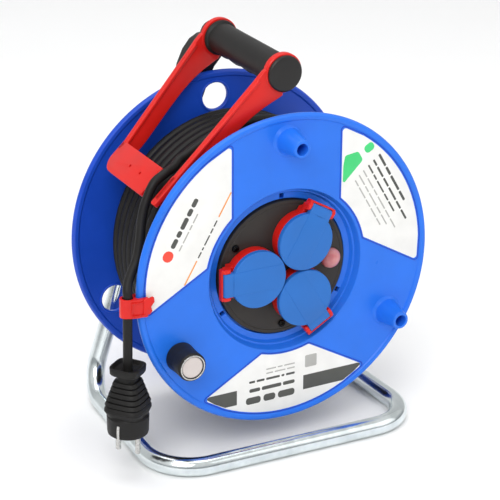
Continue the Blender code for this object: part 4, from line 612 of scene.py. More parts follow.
def look(key):
    """A finish's material, made once, and the record's slot that it belongs to."""
    slot, recipe, *given = FINISHES[key]
    if key not in MADE:
        MADE[key] = recipe(*given)
    return MADE[key], slot


# ---------------------------------------------------------------- operators
# where the camera stands in metres, its yaw, pitch and roll in degrees, and its lens in mm
CAMERA_PLACE = (-0.7820, -1.45405, 0.8410)
CAMERA_TURN = (-28.3, 22.34, 1.25)
CAMERA_LENS = 141.3


class REEL_OT_camera(bpy.types.Operator):
    """Stands the camera to the left of the reel, above it and in front of it, on a long lens"""

    bl_idname = "reel.camera"
    bl_label = "Camera"

    def execute(self, context):
        yaw, pitch, roll = (math.radians(a) for a in CAMERA_TURN)
        back = Vector((math.sin(yaw) * math.cos(pitch), -math.cos(yaw) * math.cos(pitch), math.sin(pitch)))
        right = Vector((math.cos(yaw), math.sin(yaw), 0.0))
        up = back.cross(right)
        side = right * math.cos(roll) + up * math.sin(roll)
        top = up * math.cos(roll) - right * math.sin(roll)
        data = bpy.data.cameras.new("camera")
        data.lens = CAMERA_LENS
        data.sensor_width = 36.0
        data.clip_end = 20.0
        camera = bpy.data.objects.new("camera", data)
        turn = Matrix((side, top, back)).transposed().to_4x4()
        camera.matrix_world = Matrix.Translation(CAMERA_PLACE) @ turn
        context.scene.collection.objects.link(camera)
        context.scene.camera = camera
        return {"FINISHED"}


def winding_line(per_turn):
    """The cord's outer layer as one line: a helix that runs forward at an even pitch, climbs by the
    square root of the climb's share onto itself, crosses back by a smooth step, and lifts off."""
    turns, climb, crossing, back_turn, lift_turn = WINDING_TURNS * 360.0, 180.0, 300.0, 60.0, 75.0
    second_layer, tip_radius, tip_angle = 0.0088, 0.1260, -32.5 - DRUM_TURN
    first, crossed_to, tip_depth = 0.0112, 0.066, 0.051
    total = turns + climb + crossing
    run = np.linspace(0.0, total, int(total / 360.0 * per_turn) + 1)
    left = total - run
    lifted = np.where(run > turns, second_layer * np.sqrt(np.clip((run - turns) / climb, 0.0, 1.0)), 0.0)
    tail = tip_radius - STRAND - second_layer
    rise = np.clip((lift_turn - left) / lift_turn, 0.0, 1.0) ** 1.7
    lifted = lifted + np.where(left < lift_turn, tail * rise, 0.0)
    depth = first + WINDING_PITCH * np.clip((turns - run) / 360.0, 0.0, None)
    over = np.clip((crossing - left) / (crossing - back_turn), 0.0, 1.0)
    over = over * over * (3.0 - 2.0 * over)
    crossed = first + (crossed_to - first) * over
    forward = crossed_to + (tip_depth - crossed_to) * np.clip(1.0 - left / back_turn, 0.0, 1.0) ** 2
    depth = np.where(left < crossing, np.where(left > back_turn, crossed, forward), depth)
    return polar(STRAND + lifted, tip_angle + left, depth)


def cord_end():
    """Where the wound cord ends and the free cord goes on, and its direction there.

    The solids' winding has 24 points a turn, and it runs on straight for one diameter."""
    points = winding_line(24)
    way = points[-1] - points[-2]
    way = way / np.linalg.norm(way)
    return points[-1] + way * 2.0 * CORD_RADIUS, way


class REEL_OT_cord(bpy.types.Operator):
    """The free cord: out of the winding, through the guide's slot, round the rim and down to the plug"""

    bl_idname = "reel.cord"
    bl_label = "Free cord"

    def execute(self, context):
        tip, way = cord_end()
        start = tip + way * GAP
        route = [start, start + way * 2.0 * CORD_RADIUS]
        route += [polar(r, a - DRUM_TURN, d) for a, r, d in CORD_ROUTE]
        top, end = 0.172, 0.1018
        drop = np.array([0.0, 0.12, 0.25, 0.5, 0.75, 1.0])
        route += [np.array([PLUG_X, RIM_Y + PLUG_DEPTH, top + (end - top) * share]) for share in drop]
        path = smooth_line(np.array(route), 240)
        cord = tube_piece("cord_to_plug", path, CORD_RADIUS, "cord rubber", "frame", 32)
        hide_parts("free_cord")
        plug = plug_piece()
        clip = clip_pieces()
        pins = [frame["nodes"][name] for name in numbered("plug_pin", 2)]
        [plug] + earth_strips() + clip + pins
        return {"FINISHED"}


def plug_piece():
    """The rubber plug. Each level is a superellipse turned with the earth strips: its half-width over
    the p-th root of |cos|^p + |sin|^p, where p is 2 for a round level and near 4 for a square one."""
    face, base_top, rib_top, mouth, pitch = 0.0425, 0.0610, 0.0946, 0.1070, 0.00455
    rows = [(0.0020, face, 2.0), (0.0150, face, 2.0), (0.0168, face + 0.0003, 2.0),
            (0.0178, face + 0.0012, 2.0), (0.0182, face + 0.0035, 2.0), (0.0186, base_top - 0.0010, 2.0),
            (0.0174, base_top - 0.0002, 2.2), (0.0166, base_top + 0.0004, 2.8),
            (0.0174, base_top + 0.0032, 3.4), (0.0179, base_top + 0.0052, 4.0)]
    for rib, width in enumerate((0.0179, 0.0174, 0.0160, 0.0146, 0.0132, 0.0118)):
        low = base_top + 0.0063 + rib * pitch
        rows += [(width - 0.0003, low - 0.0002, 4.0), (width, low + 0.0004, 4.0),
                 (width - 0.0010, low + 0.0029, 4.0), (width - 0.0013, low + 0.0033, 4.0),
                 (width - 0.0030, low + 0.0034, 4.0), (width - 0.0031, low + 0.0042, 4.0)]
    rows += [(0.0086, rib_top, 3.0), (0.0088, rib_top + 0.0050, 3.0), (0.0122, rib_top + 0.0052, 3.4),
             (0.0132, rib_top + 0.0056, 3.5), (0.0135, rib_top + 0.0064, 4.0), (0.0138, mouth - 0.0008, 4.0),
             (0.0135, mouth - 0.0002, 4.0), (0.0128, mouth, 4.0), (0.0120, mouth - 0.0003, 4.0),
             (0.0105, mouth - 0.0032, 3.0), (0.0060, mouth - 0.0042, 2.0), (0.0045, mouth - 0.0046, 2.0),
             (0.0045, face + 0.0200, 2.0), (0.0020, face + 0.0100, 2.0)]
    width, level, power = (np.array(column)[:, None] for column in zip(*rows))
    turn = around(128)
    reach = width / (np.abs(np.cos(turn)) ** power + np.abs(np.sin(turn)) ** power) ** (1.0 / power)
    rings = plug_place(reach * np.cos(turn), reach * np.sin(turn), level + 0.0 * reach)
    plug = finish_mesh("plug", rings, grid_faces(len(rows), 128, True, True), "cord rubber", "frame", 28.0)
    for side in (-1.0, 1.0):
        rings = cutter_rings(rectangle(0.0015, 0.0172 * side, 0.0215 * side), face - 0.002, 0.0565)
        cut_shape(plug, plug_place(rings[..., 0], rings[..., 1], rings[..., 2]))
    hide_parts("plug_body")
    return plug


def plug_place(x, y, z):
    """The plug's own (x, y, z), turned with its earth strips, as world points."""
    way = math.radians(PLUG_TURN)
    return np.stack([PLUG_X + x * math.cos(way) - y * math.sin(way),
                     RIM_Y + PLUG_DEPTH + x * math.sin(way) + y * math.cos(way), z], axis=-1)


def earth_strips():
    """The plug's two earth contacts: slim sprung strips that bow out by a sine along their length."""
    pieces = []
    for number, side in enumerate((-1.0, 1.0), start=1):
        low, high, rows = 0.0432, 0.0560, 14
        level = np.linspace(low, high, rows)[:, None]
        bow = 0.0183 + 0.0006 * np.sin((level - low) / (high - low) * math.pi)
        x = np.array([-0.0012, 0.0012, 0.0012, -0.0012])[None] + 0.0 * level
        y = side * (bow + np.array([0.0, 0.0, -0.0007, -0.0007])[None])
        rings = plug_place(x, y, level + 0.0 * x)
        strip = finish_mesh("earth_strip_%d" % number, rings, capped_faces(rows, 4), "steel", "frame")
        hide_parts("plug_earth_strip_%d" % number)
        pieces.append(strip)
    return pieces


def clip_pieces():
    """The snap clip on the rim: its body, a raised frame on its front and two ears at its free end."""
    low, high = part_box("cord_clip")
    front, x0, x1, z0, z1 = low.y - RIM_Y, low.x, high.x, low.z, high.z
    pieces = [softened_copy("cord_clip", "rim_clip", "red", 0.0006)]

    def place(rings):
        return np.stack([rings[..., 0], RIM_Y + rings[..., 2], rings[..., 1]], axis=-1)

    middle = (z0 + z1) / 2.0
    ears = rounded_outline([
        (x1 - 0.0050, z0 + 0.0024, 0.0006), (x1 + 0.0005, z0 + 0.0018, 0.0016),
        (x1 + 0.0032, z0 + 0.0045, 0.0014), (x1 + 0.0020, middle + 0.0005, 0.0012),
        (x1 + 0.0052, z1 - 0.0040, 0.0016), (x1 + 0.0046, z1 + 0.0012, 0.0018),
        (x1 + 0.0010, z1 - 0.0004, 0.0018), (x1 - 0.0022, z1 + 0.0012, 0.0014),
        (x1 - 0.0050, z1 - 0.0010, 0.0008),
    ], 8)
    pieces.append(plate_piece("clip_ears", ears, front - 0.0006, front + 0.0022, 0.0007, place, "red",
                              "frame"))
    left, right, foot, head, bar_width = x0 + 0.0068, x1 - 0.0024, z0 + 0.0030, z1 - 0.0030, 0.0007
    for a, b, c, d in ((left, right, head, head + bar_width), (left, left + bar_width, foot, head),
                       (right - bar_width, right, foot, head), (left, right, foot - bar_width, foot)):
        outline = [(a, c), (b, c), (b, d), (a, d)]
        pieces.append(plate_piece("clip_frame", outline, front - 0.0005, front + 0.0006, 0.00025, place,
                                  "red", "frame"))
    frame_piece = joined("clip_frame", pieces[2:])
    for piece in (pieces[1], frame_piece):
        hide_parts("cord_clip")
    return pieces[:2] + [frame_piece]


def cut_shape(obj, rings):
    """Cuts away the closed shape given by stacked rings."""
    mesh = bpy.data.meshes.new("cutter")
    mesh.from_pydata(rings.reshape(-1, 3).tolist(), [], capped_faces(*rings.shape[:2]))
    bm = bmesh.new()
    bm.from_mesh(mesh)
    bmesh.ops.remove_doubles(bm, verts=bm.verts, dist=1e-8)
    bmesh.ops.recalc_face_normals(bm, faces=bm.faces)
    bm.to_mesh(mesh)
    bm.free()
    cutter = bpy.data.objects.new("cutter", mesh)
    bpy.context.scene.collection.objects.link(cutter)
    mod = obj.modifiers.new("cut", "BOOLEAN")
    mod.operation = "DIFFERENCE"
    mod.solver = "EXACT"
    mod.object = cutter
    bpy.context.view_layer.update()
    result = bpy.data.meshes.new_from_object(obj.evaluated_get(bpy.context.evaluated_depsgraph_get()))
    obj.modifiers.clear()
    obj.data = result
    obj.data.set_sharp_from_angle(angle=math.radians(SHARP_ANGLE))
    bpy.data.objects.remove(cutter, do_unlink=True)


class REEL_OT_winding(bpy.types.Operator):
    """The wound cord: its outer layer, the layer that shows between its turns, and a dark core"""

    bl_idname = "reel.winding"
    bl_label = "Wound cord"

    def execute(self, context):
        points = winding_line(72)
        tip, way = cord_end()
        points = np.vstack([points[:-1], tip[None] + way * GAP])
        outer = tube_piece("outer_layer", points, CORD_RADIUS, "cord rubber", "drum", 16)
        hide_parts("cord_winding")
        turn = np.linspace(0.0, WINDING_TURNS, WINDING_TURNS * 60 + 1)
        under = polar(STRAND - 0.0073, turn * 360.0 - 40.0, 0.0135 + WINDING_PITCH * turn)
        second = tube_piece("under_layer", under, CORD_RADIUS, "cord rubber", "drum", 12)
        core = turned_piece("inner_layers", [
            (0.0680, 0.0165), (0.0800, 0.0090), (0.0960, 0.0075), (0.1015, 0.0080), (0.1015, 0.1375),
            (0.0680, 0.1378),
        ], DRUM_CENTRE, "cord rubber", "drum", 128, closed=True)
        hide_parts("cord_inner_layers")
        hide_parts("cord_inner_layers")
        return {"FINISHED"}


class REEL_OT_frame(bpy.types.Operator):
    """The bent tube that the reel stands on: it rests on the ground and carries the drum behind"""

    bl_idname = "reel.frame"
    bl_label = "Tube frame"

    def execute(self, context):
        radius, depth, foot_depth = 0.0085, 0.1615, -0.0236
        top_x, top_z, knee_x, knee_z, end_z = 0.0077, 0.320, 0.0865, 0.1185, 0.197
        rear_x, front_x = 0.1205, 0.1295
        lean = (knee_x - top_x) / (top_z - knee_z)
        end_x = knee_x - lean * (end_z - knee_z)
        corners = np.array([(-top_x, depth, top_z), (-knee_x, depth, knee_z), (-rear_x, depth, radius),
                            (-front_x, foot_depth, radius), (front_x, foot_depth, radius),
                            (rear_x, depth, radius), (knee_x, depth, knee_z), (end_x, depth, end_z)])
        bends = np.array([0.20, 0.034, 0.042, 0.042, 0.034, 0.20])
        path = bent_bar(corners, bends, 24)
        path[:, 1] += RIM_Y
        tube = tube_piece("bent_tube", path, radius, "zinc", "frame", 48)
        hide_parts("tube_frame")
        return {"FINISHED"}


def bent_bar(corners, bends, steps):
    """The corners of a bent bar joined by tangent arcs: each arc point is the chord's point set at
    the bend's radius from its centre, which lies on the corner's bisector."""
    inner = corners[1:-1]
    back = corners[:-2] - inner
    ahead = corners[2:] - inner
    back = back / np.linalg.norm(back, axis=1, keepdims=True)
    ahead = ahead / np.linalg.norm(ahead, axis=1, keepdims=True)
    half = np.arccos((back * ahead).sum(axis=1)) / 2.0
    reach = (bends / np.tan(half))[:, None]
    way = back + ahead
    way = way / np.linalg.norm(way, axis=1, keepdims=True)
    centre = (inner + way * (bends / np.sin(half))[:, None])[:, None]
    share = np.linspace(0.0, 1.0, steps)[None, :, None]
    chord = (inner + back * reach)[:, None] * (1.0 - share) + (inner + ahead * reach)[:, None] * share
    spoke = chord - centre
    spoke = spoke / np.linalg.norm(spoke, axis=2, keepdims=True)
    arcs = (centre + spoke * bends[:, None, None]).reshape(-1, 3)
    return np.vstack([corners[:1], arcs, corners[-1:]])


class REEL_OT_front_flange(bpy.types.Operator):
    """The front flange with its rolled rim, funnel, slotted ledge and barrel, and two hollow pegs"""

    bl_idname = "reel.front_flange"
    bl_label = "Front flange"

    def execute(self, context):
        edge = 0.0005
        profile = rounded_outline([
            (0.1380, FACE, edge), (0.1392, 0.0004, 0.0006), (0.1405, 0.0, 0.0008), (0.1430, 0.0, 0.0016),
            (0.1450, 0.0035, 0.0030), (0.1430, 0.0070, 0.0016), (0.1394, 0.0070, 0.0006),
            (0.1380, FLANGE_BACK, edge), (0.0788, FLANGE_BACK, 0.002), (0.0734, 0.0148, 0.001),
            (0.0675, 0.0148, 0.0003), (0.0675, 0.1393, 0.0003), (0.0645, 0.1393, 0.0003),
            (0.0645, 0.0184, 0.0001), (0.0580, 0.0184, 0.0002), (0.0580, 0.0159, 0.0002),
            (0.0643, 0.0159, 0.0001), (0.0643, 0.0118, 0.0003), (0.0698, 0.0118, 0.0006),
            (0.0716, 0.0081, 0.0004), (0.0731, 0.0081, 0.0006), (0.0758, FACE, 0.0012),
        ], 6)
        flange = turned_piece("flange_with_barrel", profile, DRUM_CENTRE, "front blue", "drum", 288,
                              closed=True)
        slot_half, slot_circle = 0.00225, 0.0671
        slot = rectangle(slot_half, slot_circle - slot_half, slot_circle + slot_half)
        for angle in SPOKES:
            cut_shape(flange, socket_place(angle)(cutter_rings(slot, 0.0100, 0.0260)))
        pegs = []
        for angle in SPOKES[:2]:
            peg = rounded_outline([
                (0.0053, 0.0042, 0.0), (0.0053, -0.0243, 0.0004), (0.0074, -0.0243, 0.0009),
                (0.0081, -0.0228, 0.0004), (0.0117, -0.0002, 0.0016), (0.0146, 0.0017, 0.0008),
                (0.0150, 0.0042, 0.0),
            ], 7)
            pegs.append(turned_piece("peg", peg, spot(PEG_CIRCLE, angle), "front blue", "drum", 96,
                                     closed=True))
        flange = joined("flange_with_barrel", [flange] + pegs)
        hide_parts("drum_front")
        return {"FINISHED"}


class REEL_OT_rear_flange(bpy.types.Operator):
    """The rear flange with its hub and three round holes"""

    bl_idname = "reel.rear_flange"
    bl_label = "Rear flange"

    def execute(self, context):
        start = 0.1385
        profile = rounded_outline([
            (0.0083, 0.1100, 0.0003), (0.0160, 0.1100, 0.0006), (0.0160, REAR_DEPTH, 0.001),
            (0.1380, REAR_DEPTH, 0.0005), (0.1394, start, 0.0006), (0.1430, start, 0.0016),
            (0.1450, start + 0.0035, 0.0030), (0.1430, start + 0.0070, 0.0016),
            (0.1394, start + 0.0070, 0.0006), (0.1380, 0.1426, 0.0005), (0.0200, 0.1426, 0.0015),
            (0.0140, 0.1484, 0.0006), (0.0083, 0.1484, 0.0003),
        ], 6)
        # the darker blue of this flange paints the shade between the flanges
        flange = turned_piece("rear_flange", profile, DRUM_CENTRE, "rear blue", "drum", 288, closed=True)
        beads = []
        for angle in SPOKES:
            centre = spot(REAR_HOLE_CIRCLE, angle)
            hole = [(0.0, 0.134), (REAR_HOLE, 0.134), (REAR_HOLE, 0.148), (0.0, 0.148)]
            cut_shape(flange, revolve(hole, centre, 96))
            bead = oval(REAR_HOLE + 0.0012, 0.1397, 0.0010, 0.0010, 24)
            beads.append(turned_piece("bead", bead, centre, "rear blue", "drum", 72, closed=True))
        flange = joined("rear_flange", [flange] + beads)
        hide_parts("drum_rear")
        return {"FINISHED"}


def label_field(centre, shrink):
    """A label's outline as (x, z) round the drum's axis: two arcs joined along the spokes' sides,
    drawn in by shrink, with its four corners rounded."""
    outer, inner, half = LABEL_OUTER - shrink, LABEL_INNER + shrink, SPOKE_HALF + shrink
    out_half = 60.0 - math.degrees(math.asin(half / outer))
    in_half = 60.0 - math.degrees(math.asin(half / inner))
    arcs, count = [], 22
    for radius, start, end, corner in ((outer, -out_half, out_half, 0.0028),
                                       (inner, in_half, -in_half, 0.0020)):
        angle = np.radians(centre + DRUM_TURN + np.linspace(start, end, count))
        arc = np.stack([radius * np.sin(angle), radius * np.cos(angle), np.zeros(count)], axis=1)
        arc[[0, -1], 2] = corner
        arcs.append(np.delete(arc, [1, 2, count - 3, count - 2], axis=0))
    outline = rounded_outline(np.vstack(arcs).tolist(), 7)
    keep = np.linalg.norm(outline - np.roll(outline, 1, axis=0), axis=1) > 1e-6
    return outline[keep]


def drum_face(rings):
    """(x, z, depth) round the drum's axis as world points."""
    return np.stack([rings[..., 0], RIM_Y + rings[..., 2], DRUM_Z + rings[..., 1]], axis=-1)


class REEL_OT_labels(bpy.types.Operator):
    """Three film labels between the spokes, each with a bead round it in a darker blue that paints the shade
    line at its edge, and plain printed marks
    """

    bl_idname = "reel.labels"
    bl_label = "Labels"

    def execute(self, context):
        bead = context.scene.reel_sizes.bead
        for number, centre in enumerate(BETWEEN, start=1):
            plate_piece("label_%d" % number, label_field(centre, 0.0012), FILM_FRONT, FACE + 0.0008, 0.00005,
                        drum_face, "label", "drum")
            # a half-sunk ring at the label's edge, in the darker blue that paints the shade line there
            outline = label_field(centre, 0.0)
            path = drum_face(np.column_stack([outline, np.full(len(outline), FACE)]))
            rings = tube_rings(np.vstack([path[-1:], path, path[:1]]), bead, 10)[1:-1]
            finish_mesh("label_bead_%d" % number, rings, grid_faces(len(path), 10, True, True), "rear blue",
                        "drum")
        for number, (kind, centre, places) in enumerate(PRINT, start=1):
            turn = math.radians(centre + DRUM_TURN)
            corners = [(x * math.cos(turn) + r * math.sin(turn), -x * math.sin(turn) + r * math.cos(turn), c)
                       for x, r, c in places]
            plate_piece("print_%d" % number, rounded_outline(corners, 5), INK_FRONT, FACE + 0.0004, 0.00003,
                        drum_face, kind, "drum")
        return {"FINISHED"}


def bar(x, r, length, height, corner):
    """A rounded bar on a label: its middle at x across and r outwards."""
    a, b = length / 2.0, height / 2.0
    return [(x - a, r - b, corner), (x + a, r - b, corner), (x + a, r + b, corner), (x - a, r + b, corner)]


def row(ink, label, x, r, height, lengths, gap=0.0016):
    """A row of short bars on a label that starts at x, at r outwards."""
    starts = x + np.concatenate([[0.0], np.cumsum(np.array(lengths[:-1]) + gap)])
    return [(ink, label, bar(start + size / 2.0, r, size, height, height * 0.4))
            for start, size in zip(starts, lengths)]


# printed marks: ink, label, corners as (across, outwards, rounding) in the label's own frame
PRINT = [
    ("red ink", 300.0, bar(-0.0270, 0.1170, 0.0100, 0.0100, 0.0046)),
    ("orange ink", 300.0, bar(-0.0330, 0.0890, 0.0240, 0.0014, 0.0006)),
    ("orange ink", 300.0, bar(0.0330, 0.0890, 0.0240, 0.0014, 0.0006)),
    ("grey ink", 180.0, [(0.0487, 0.1070, 0.0002), (0.0487, 0.1213, 0.0002), (0.0606, 0.1213, 0.0010),
                         (0.0712, 0.1153, 0.0100), (0.0794, 0.1088, 0.0010), (0.0765, 0.1070, 0.0006)]),
    ("grey ink", 180.0, [(-0.0189, 0.1070, 0.0002), (-0.0189, 0.1213, 0.0002), (-0.0606, 0.1213, 0.0010),
                         (-0.0712, 0.1153, 0.0100), (-0.0794, 0.1088, 0.0010), (-0.0765, 0.1070, 0.0006)]),
    ("light ink", 180.0, bar(-0.0265, 0.0935, 0.0120, 0.0120, 0.0012)),
    ("green ink", 60.0, [(-0.0365, 0.0850, 0.0010), (-0.0490, 0.0925, 0.0010), (-0.0560, 0.0985, 0.0020),
                         (-0.0510, 0.1110, 0.0030), (-0.0410, 0.1110, 0.0030), (-0.0345, 0.0860, 0.0010)]),
    ("green ink", 60.0, bar(-0.0470, 0.1215, 0.0080, 0.0100, 0.0034)),
]
PRINT += row("grey ink", 300.0, -0.0190, 0.1170, 0.0044, (0.0090, 0.0060, 0.0110, 0.0070, 0.0080))
PRINT += row("light ink", 300.0, -0.0190, 0.1095, 0.0014, (0.0060, 0.0110, 0.0050, 0.0090))
PRINT += row("grey ink", 300.0, -0.0185, 0.0890, 0.0014, (0.0060, 0.0030, 0.0100, 0.0050, 0.0060))
PRINT += row("grey ink", 180.0, -0.0100, 0.1205, 0.0068, (0.0170, 0.0120, 0.0150), 0.0028)
PRINT += row("grey ink", 180.0, -0.0100, 0.1105, 0.0036, (0.0120, 0.0200, 0.0110))
PRINT += row("grey ink", 180.0, -0.0100, 0.1020, 0.0022, (0.0090, 0.0030, 0.0140, 0.0080, 0.0060))
PRINT += row("light ink", 180.0, -0.0100, 0.0965, 0.0013, (0.0080, 0.0110, 0.0070))
PRINT += row("light ink", 180.0, -0.0100, 0.0925, 0.0013, (0.0110, 0.0050, 0.0100))
PRINT += row("grey ink", 60.0, -0.0350, 0.1265, 0.0024, (0.0140, 0.0090, 0.0170, 0.0110))
PRINT += row("grey ink", 60.0, -0.0340, 0.1195, 0.0020, (0.0070, 0.0120, 0.0100, 0.0150, 0.0090, 0.0110))
PRINT += row("grey ink", 60.0, -0.0330, 0.1130, 0.0016, (0.0100, 0.0060, 0.0140, 0.0080, 0.0120))
PRINT += row("light ink", 60.0, -0.0320, 0.1065, 0.0013, (0.0080, 0.0120, 0.0070, 0.0150, 0.0090, 0.0110))
PRINT += row("light ink", 60.0, -0.0310, 0.1010, 0.0013, (0.0120, 0.0070, 0.0150, 0.0080, 0.0120))
PRINT += row("light ink", 60.0, -0.0290, 0.0955, 0.0013, (0.0070, 0.0130, 0.0090, 0.0110, 0.0080))


class REEL_OT_sockets(bpy.types.Operator):
    """The socket panel and the three red rings with their hinge cheeks"""

    bl_idname = "reel.sockets"
    bl_label = "Sockets"

    def execute(self, context):
        front, back = PANEL_FRONT, PANEL_FRONT + 0.0062
        profile = rounded_outline([
            (0.0, front, 0.0), (0.0480, front, 0.0), (0.0584, front, 0.0001),
            (0.0586, front + 0.0003, 0.0001), (0.0594, front + 0.0003, 0.0001), (0.0596, front, 0.0001),
            (0.0627, front, 0.0008), (0.0627, back, 0.0003), (0.0, back, 0.0),
        ], 4)
        panel = turned_piece("socket_plate", profile, DRUM_CENTRE, "panel black", "drum", 256)
        holes = [(spot(SOCKET_CIRCLE, angle), 0.0225) for angle in SOCKETS]
        holes.append((spot(BUTTON_CIRCLE, BUTTON_ANGLE), 0.0096))
        for centre, radius in holes:
            hole = [(0.0, 0.004), (radius, 0.004), (radius, 0.020), (0.0, 0.020)]
            cut_shape(panel, revolve(hole, centre, 96))
        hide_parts("socket_panel")
        for number, angle in enumerate(SOCKETS, start=1):
            centre = spot(SOCKET_CIRCLE, angle)
            ring = rounded_outline([(0.0225, RING_FRONT, 0.0006), (0.0258, RING_FRONT, 0.0008),
                                    (0.0258, RING_BACK, 0.0002), (0.0225, RING_BACK, 0.0002)], 6)
            parts = [turned_piece("ring", ring, centre, "red", "drum", 144, closed=True)]
            place = socket_place(angle)
            inner, outer = TAB_HALF + GAP, TAB_HALF + GAP + CHEEK
            ear = rounded_outline([
                (0.0505, RING_BACK, 0.0002), (0.0505, -0.0002, 0.0012), (0.0566, -0.0008, 0.0020),
                (0.0580, -0.0058, 0.0030), (0.0645, -0.0060, 0.0030), (0.0664, -0.0030, 0.0020),
                (0.0664, 0.0012, 0.0012), (0.0600, 0.0030, 0.0030), (0.0566, RING_BACK, 0.0002),
            ], 8)
            for side in (-1.0, 1.0):
                low, high = sorted((side * inner, side * outer))
                parts.append(plate_piece("cheek", ear, low, high, 0.0004, edgewise(place), "red", "drum"))
                disc = oval(HINGE_CIRCLE, HINGE_DEPTH, 0.0019, 0.0019, 32)
                low, high = sorted((side * (outer - 0.001), side * (outer + 0.0003)))
                parts.append(plate_piece("pin_end", disc, low, high, 0.0003, edgewise(place), "red", "drum"))
            wall = rounded_outline([(-outer, 0.0652, 0.0004), (outer, 0.0652, 0.0004),
                                    (outer, 0.0667, 0.0006), (-outer, 0.0667, 0.0006)], 4)
            parts.append(plate_piece("wall", wall, -0.0042, 0.0012, 0.0004, place, "red", "drum"))
            foot = rounded_outline([(-outer, 0.0545, 0.0004), (outer, 0.0545, 0.0004),
                                    (outer, 0.0620, 0.0004), (-outer, 0.0620, 0.0004)], 4)
            parts.append(plate_piece("foot", foot, 0.0022, 0.0040, 0.0003, place, "red", "drum"))
            whole = joined("hinge_ring_%d" % number, parts)
            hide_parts("socket_ring_%d" % number)
        return {"FINISHED"}


class REEL_OT_lids(bpy.types.Operator):
    """Three hinged lids: a disc with a raised band and a tab that wraps its hinge"""

    bl_idname = "reel.lids"
    bl_label = "Socket lids"

    def execute(self, context):
        relief = context.scene.reel_sizes.relief
        for number, (angle, body) in enumerate(zip(SOCKETS, ("lid_first", "lid_second", "lid_third")),
                                               start=1):
            profile = rounded_outline([
                (0.0, LID_FRONT, 0.0), (0.0150, LID_FRONT, 0.0), (0.0264, LID_FRONT, 0.0010),
                (0.0264, LID_BACK, 0.0004), (0.0232, LID_BACK, 0.0003), (0.0232, LID_BACK - 0.0026, 0.0006),
                (0.0, LID_BACK - 0.0026, 0.0),
            ], 6)
            parts = [turned_piece("disc", profile, spot(SOCKET_CIRCLE, angle), "lid blue", body, 144)]
            place = socket_place(angle)
            wrap = np.radians(np.linspace(0.0, 215.0, 28))
            knuckle = np.stack([HINGE_CIRCLE + 0.0034 * np.sin(wrap), HINGE_DEPTH - 0.0034 * np.cos(wrap)],
                               axis=1)
            tab = np.vstack([[(0.0500, LID_FRONT)], knuckle, [(0.0570, LID_BACK), (0.0500, LID_BACK)]])
            parts.append(plate_piece("tab", tab, -TAB_HALF, TAB_HALF, 0.0005, edgewise(place), "lid blue",
                                     body))
            half, reach = TAB_HALF - 0.0001, 0.0254
            sweep = np.linspace(-1.0, 1.0, 24) * math.asin(half / reach)
            far = np.stack([reach * np.sin(sweep), SOCKET_CIRCLE - reach * np.cos(sweep)], axis=1)
            band = np.vstack([far, [(half, 0.0560), (-half, 0.0560)]])
            parts.append(plate_piece("band", band, LID_FRONT - relief, LID_FRONT + 0.001, 0.00015, place,
                                     "lid blue", body))
            whole = joined("socket_lid_%d" % number, parts)
            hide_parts("lid_%d" % number)
        return {"FINISHED"}


class REEL_OT_button(bpy.types.Operator):
    """The domed, clear pink cap of the overload switch"""

    bl_idname = "reel.button"
    bl_label = "Reset button"

    def execute(self, context):
        radius, stem, seat, end = 0.0093, 0.0046, 0.0121, 0.0216
        share = np.sin(np.linspace(0.0, math.pi / 2.0, 18))
        dome = np.stack([radius * share, 0.0028 + 0.0054 * (1.0 - np.sqrt(1.0 - share ** 2))], axis=1)
        profile = np.vstack([dome, [(radius, seat), (stem, seat), (stem, end), (0.0, end)]])
        cap = turned_piece("button_cap", profile, spot(BUTTON_CIRCLE, BUTTON_ANGLE), "pink", "button", 96)
        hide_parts("reset_button")
        return {"FINISHED"}


class REEL_OT_crank(bpy.types.Operator):
    """The rubber crank knob and the plain disc set in its end"""

    bl_idname = "reel.crank"
    bl_label = "Crank knob"

    def execute(self, context):
        centre = spot(PEG_CIRCLE, SPOKES[2])
        profile = rounded_outline([
            (0.0046, 0.0013, 0.0), (0.0132, 0.0013, 0.0005), (0.0136, 0.0003, 0.0006),
            (0.0129, -0.0100, 0.0200), (0.0131, -0.0226, 0.0012), (0.0121, -0.0243, 0.0008),
            (0.0102, -0.0243, 0.0004), (0.0101, -0.0224, 0.0002), (0.0046, -0.0224, 0.0),
        ], 8)
        knob = turned_piece("knob", profile, centre, "grip rubber", "knob", 128, closed=True)
        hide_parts("crank_knob")
        disc = rounded_outline([(0.0, -0.0240, 0.0), (0.0040, -0.0240, 0.0), (0.0088, -0.0239, 0.0004),
                                (0.0098, -0.0235, 0.0004), (0.0098, -0.0228, 0.0), (0.0, -0.0228, 0.0)], 5)
        badge = turned_piece("badge_disc", disc, centre, "badge", "knob", 96)
        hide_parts("knob_badge")
        trim = oval(0.0110, -0.0243, 0.0006, 0.0004, 16)
        ring = turned_piece("badge_trim", trim, centre, "steel", "knob", 96, closed=True)
        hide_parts("knob_badge")
        return {"FINISHED"}


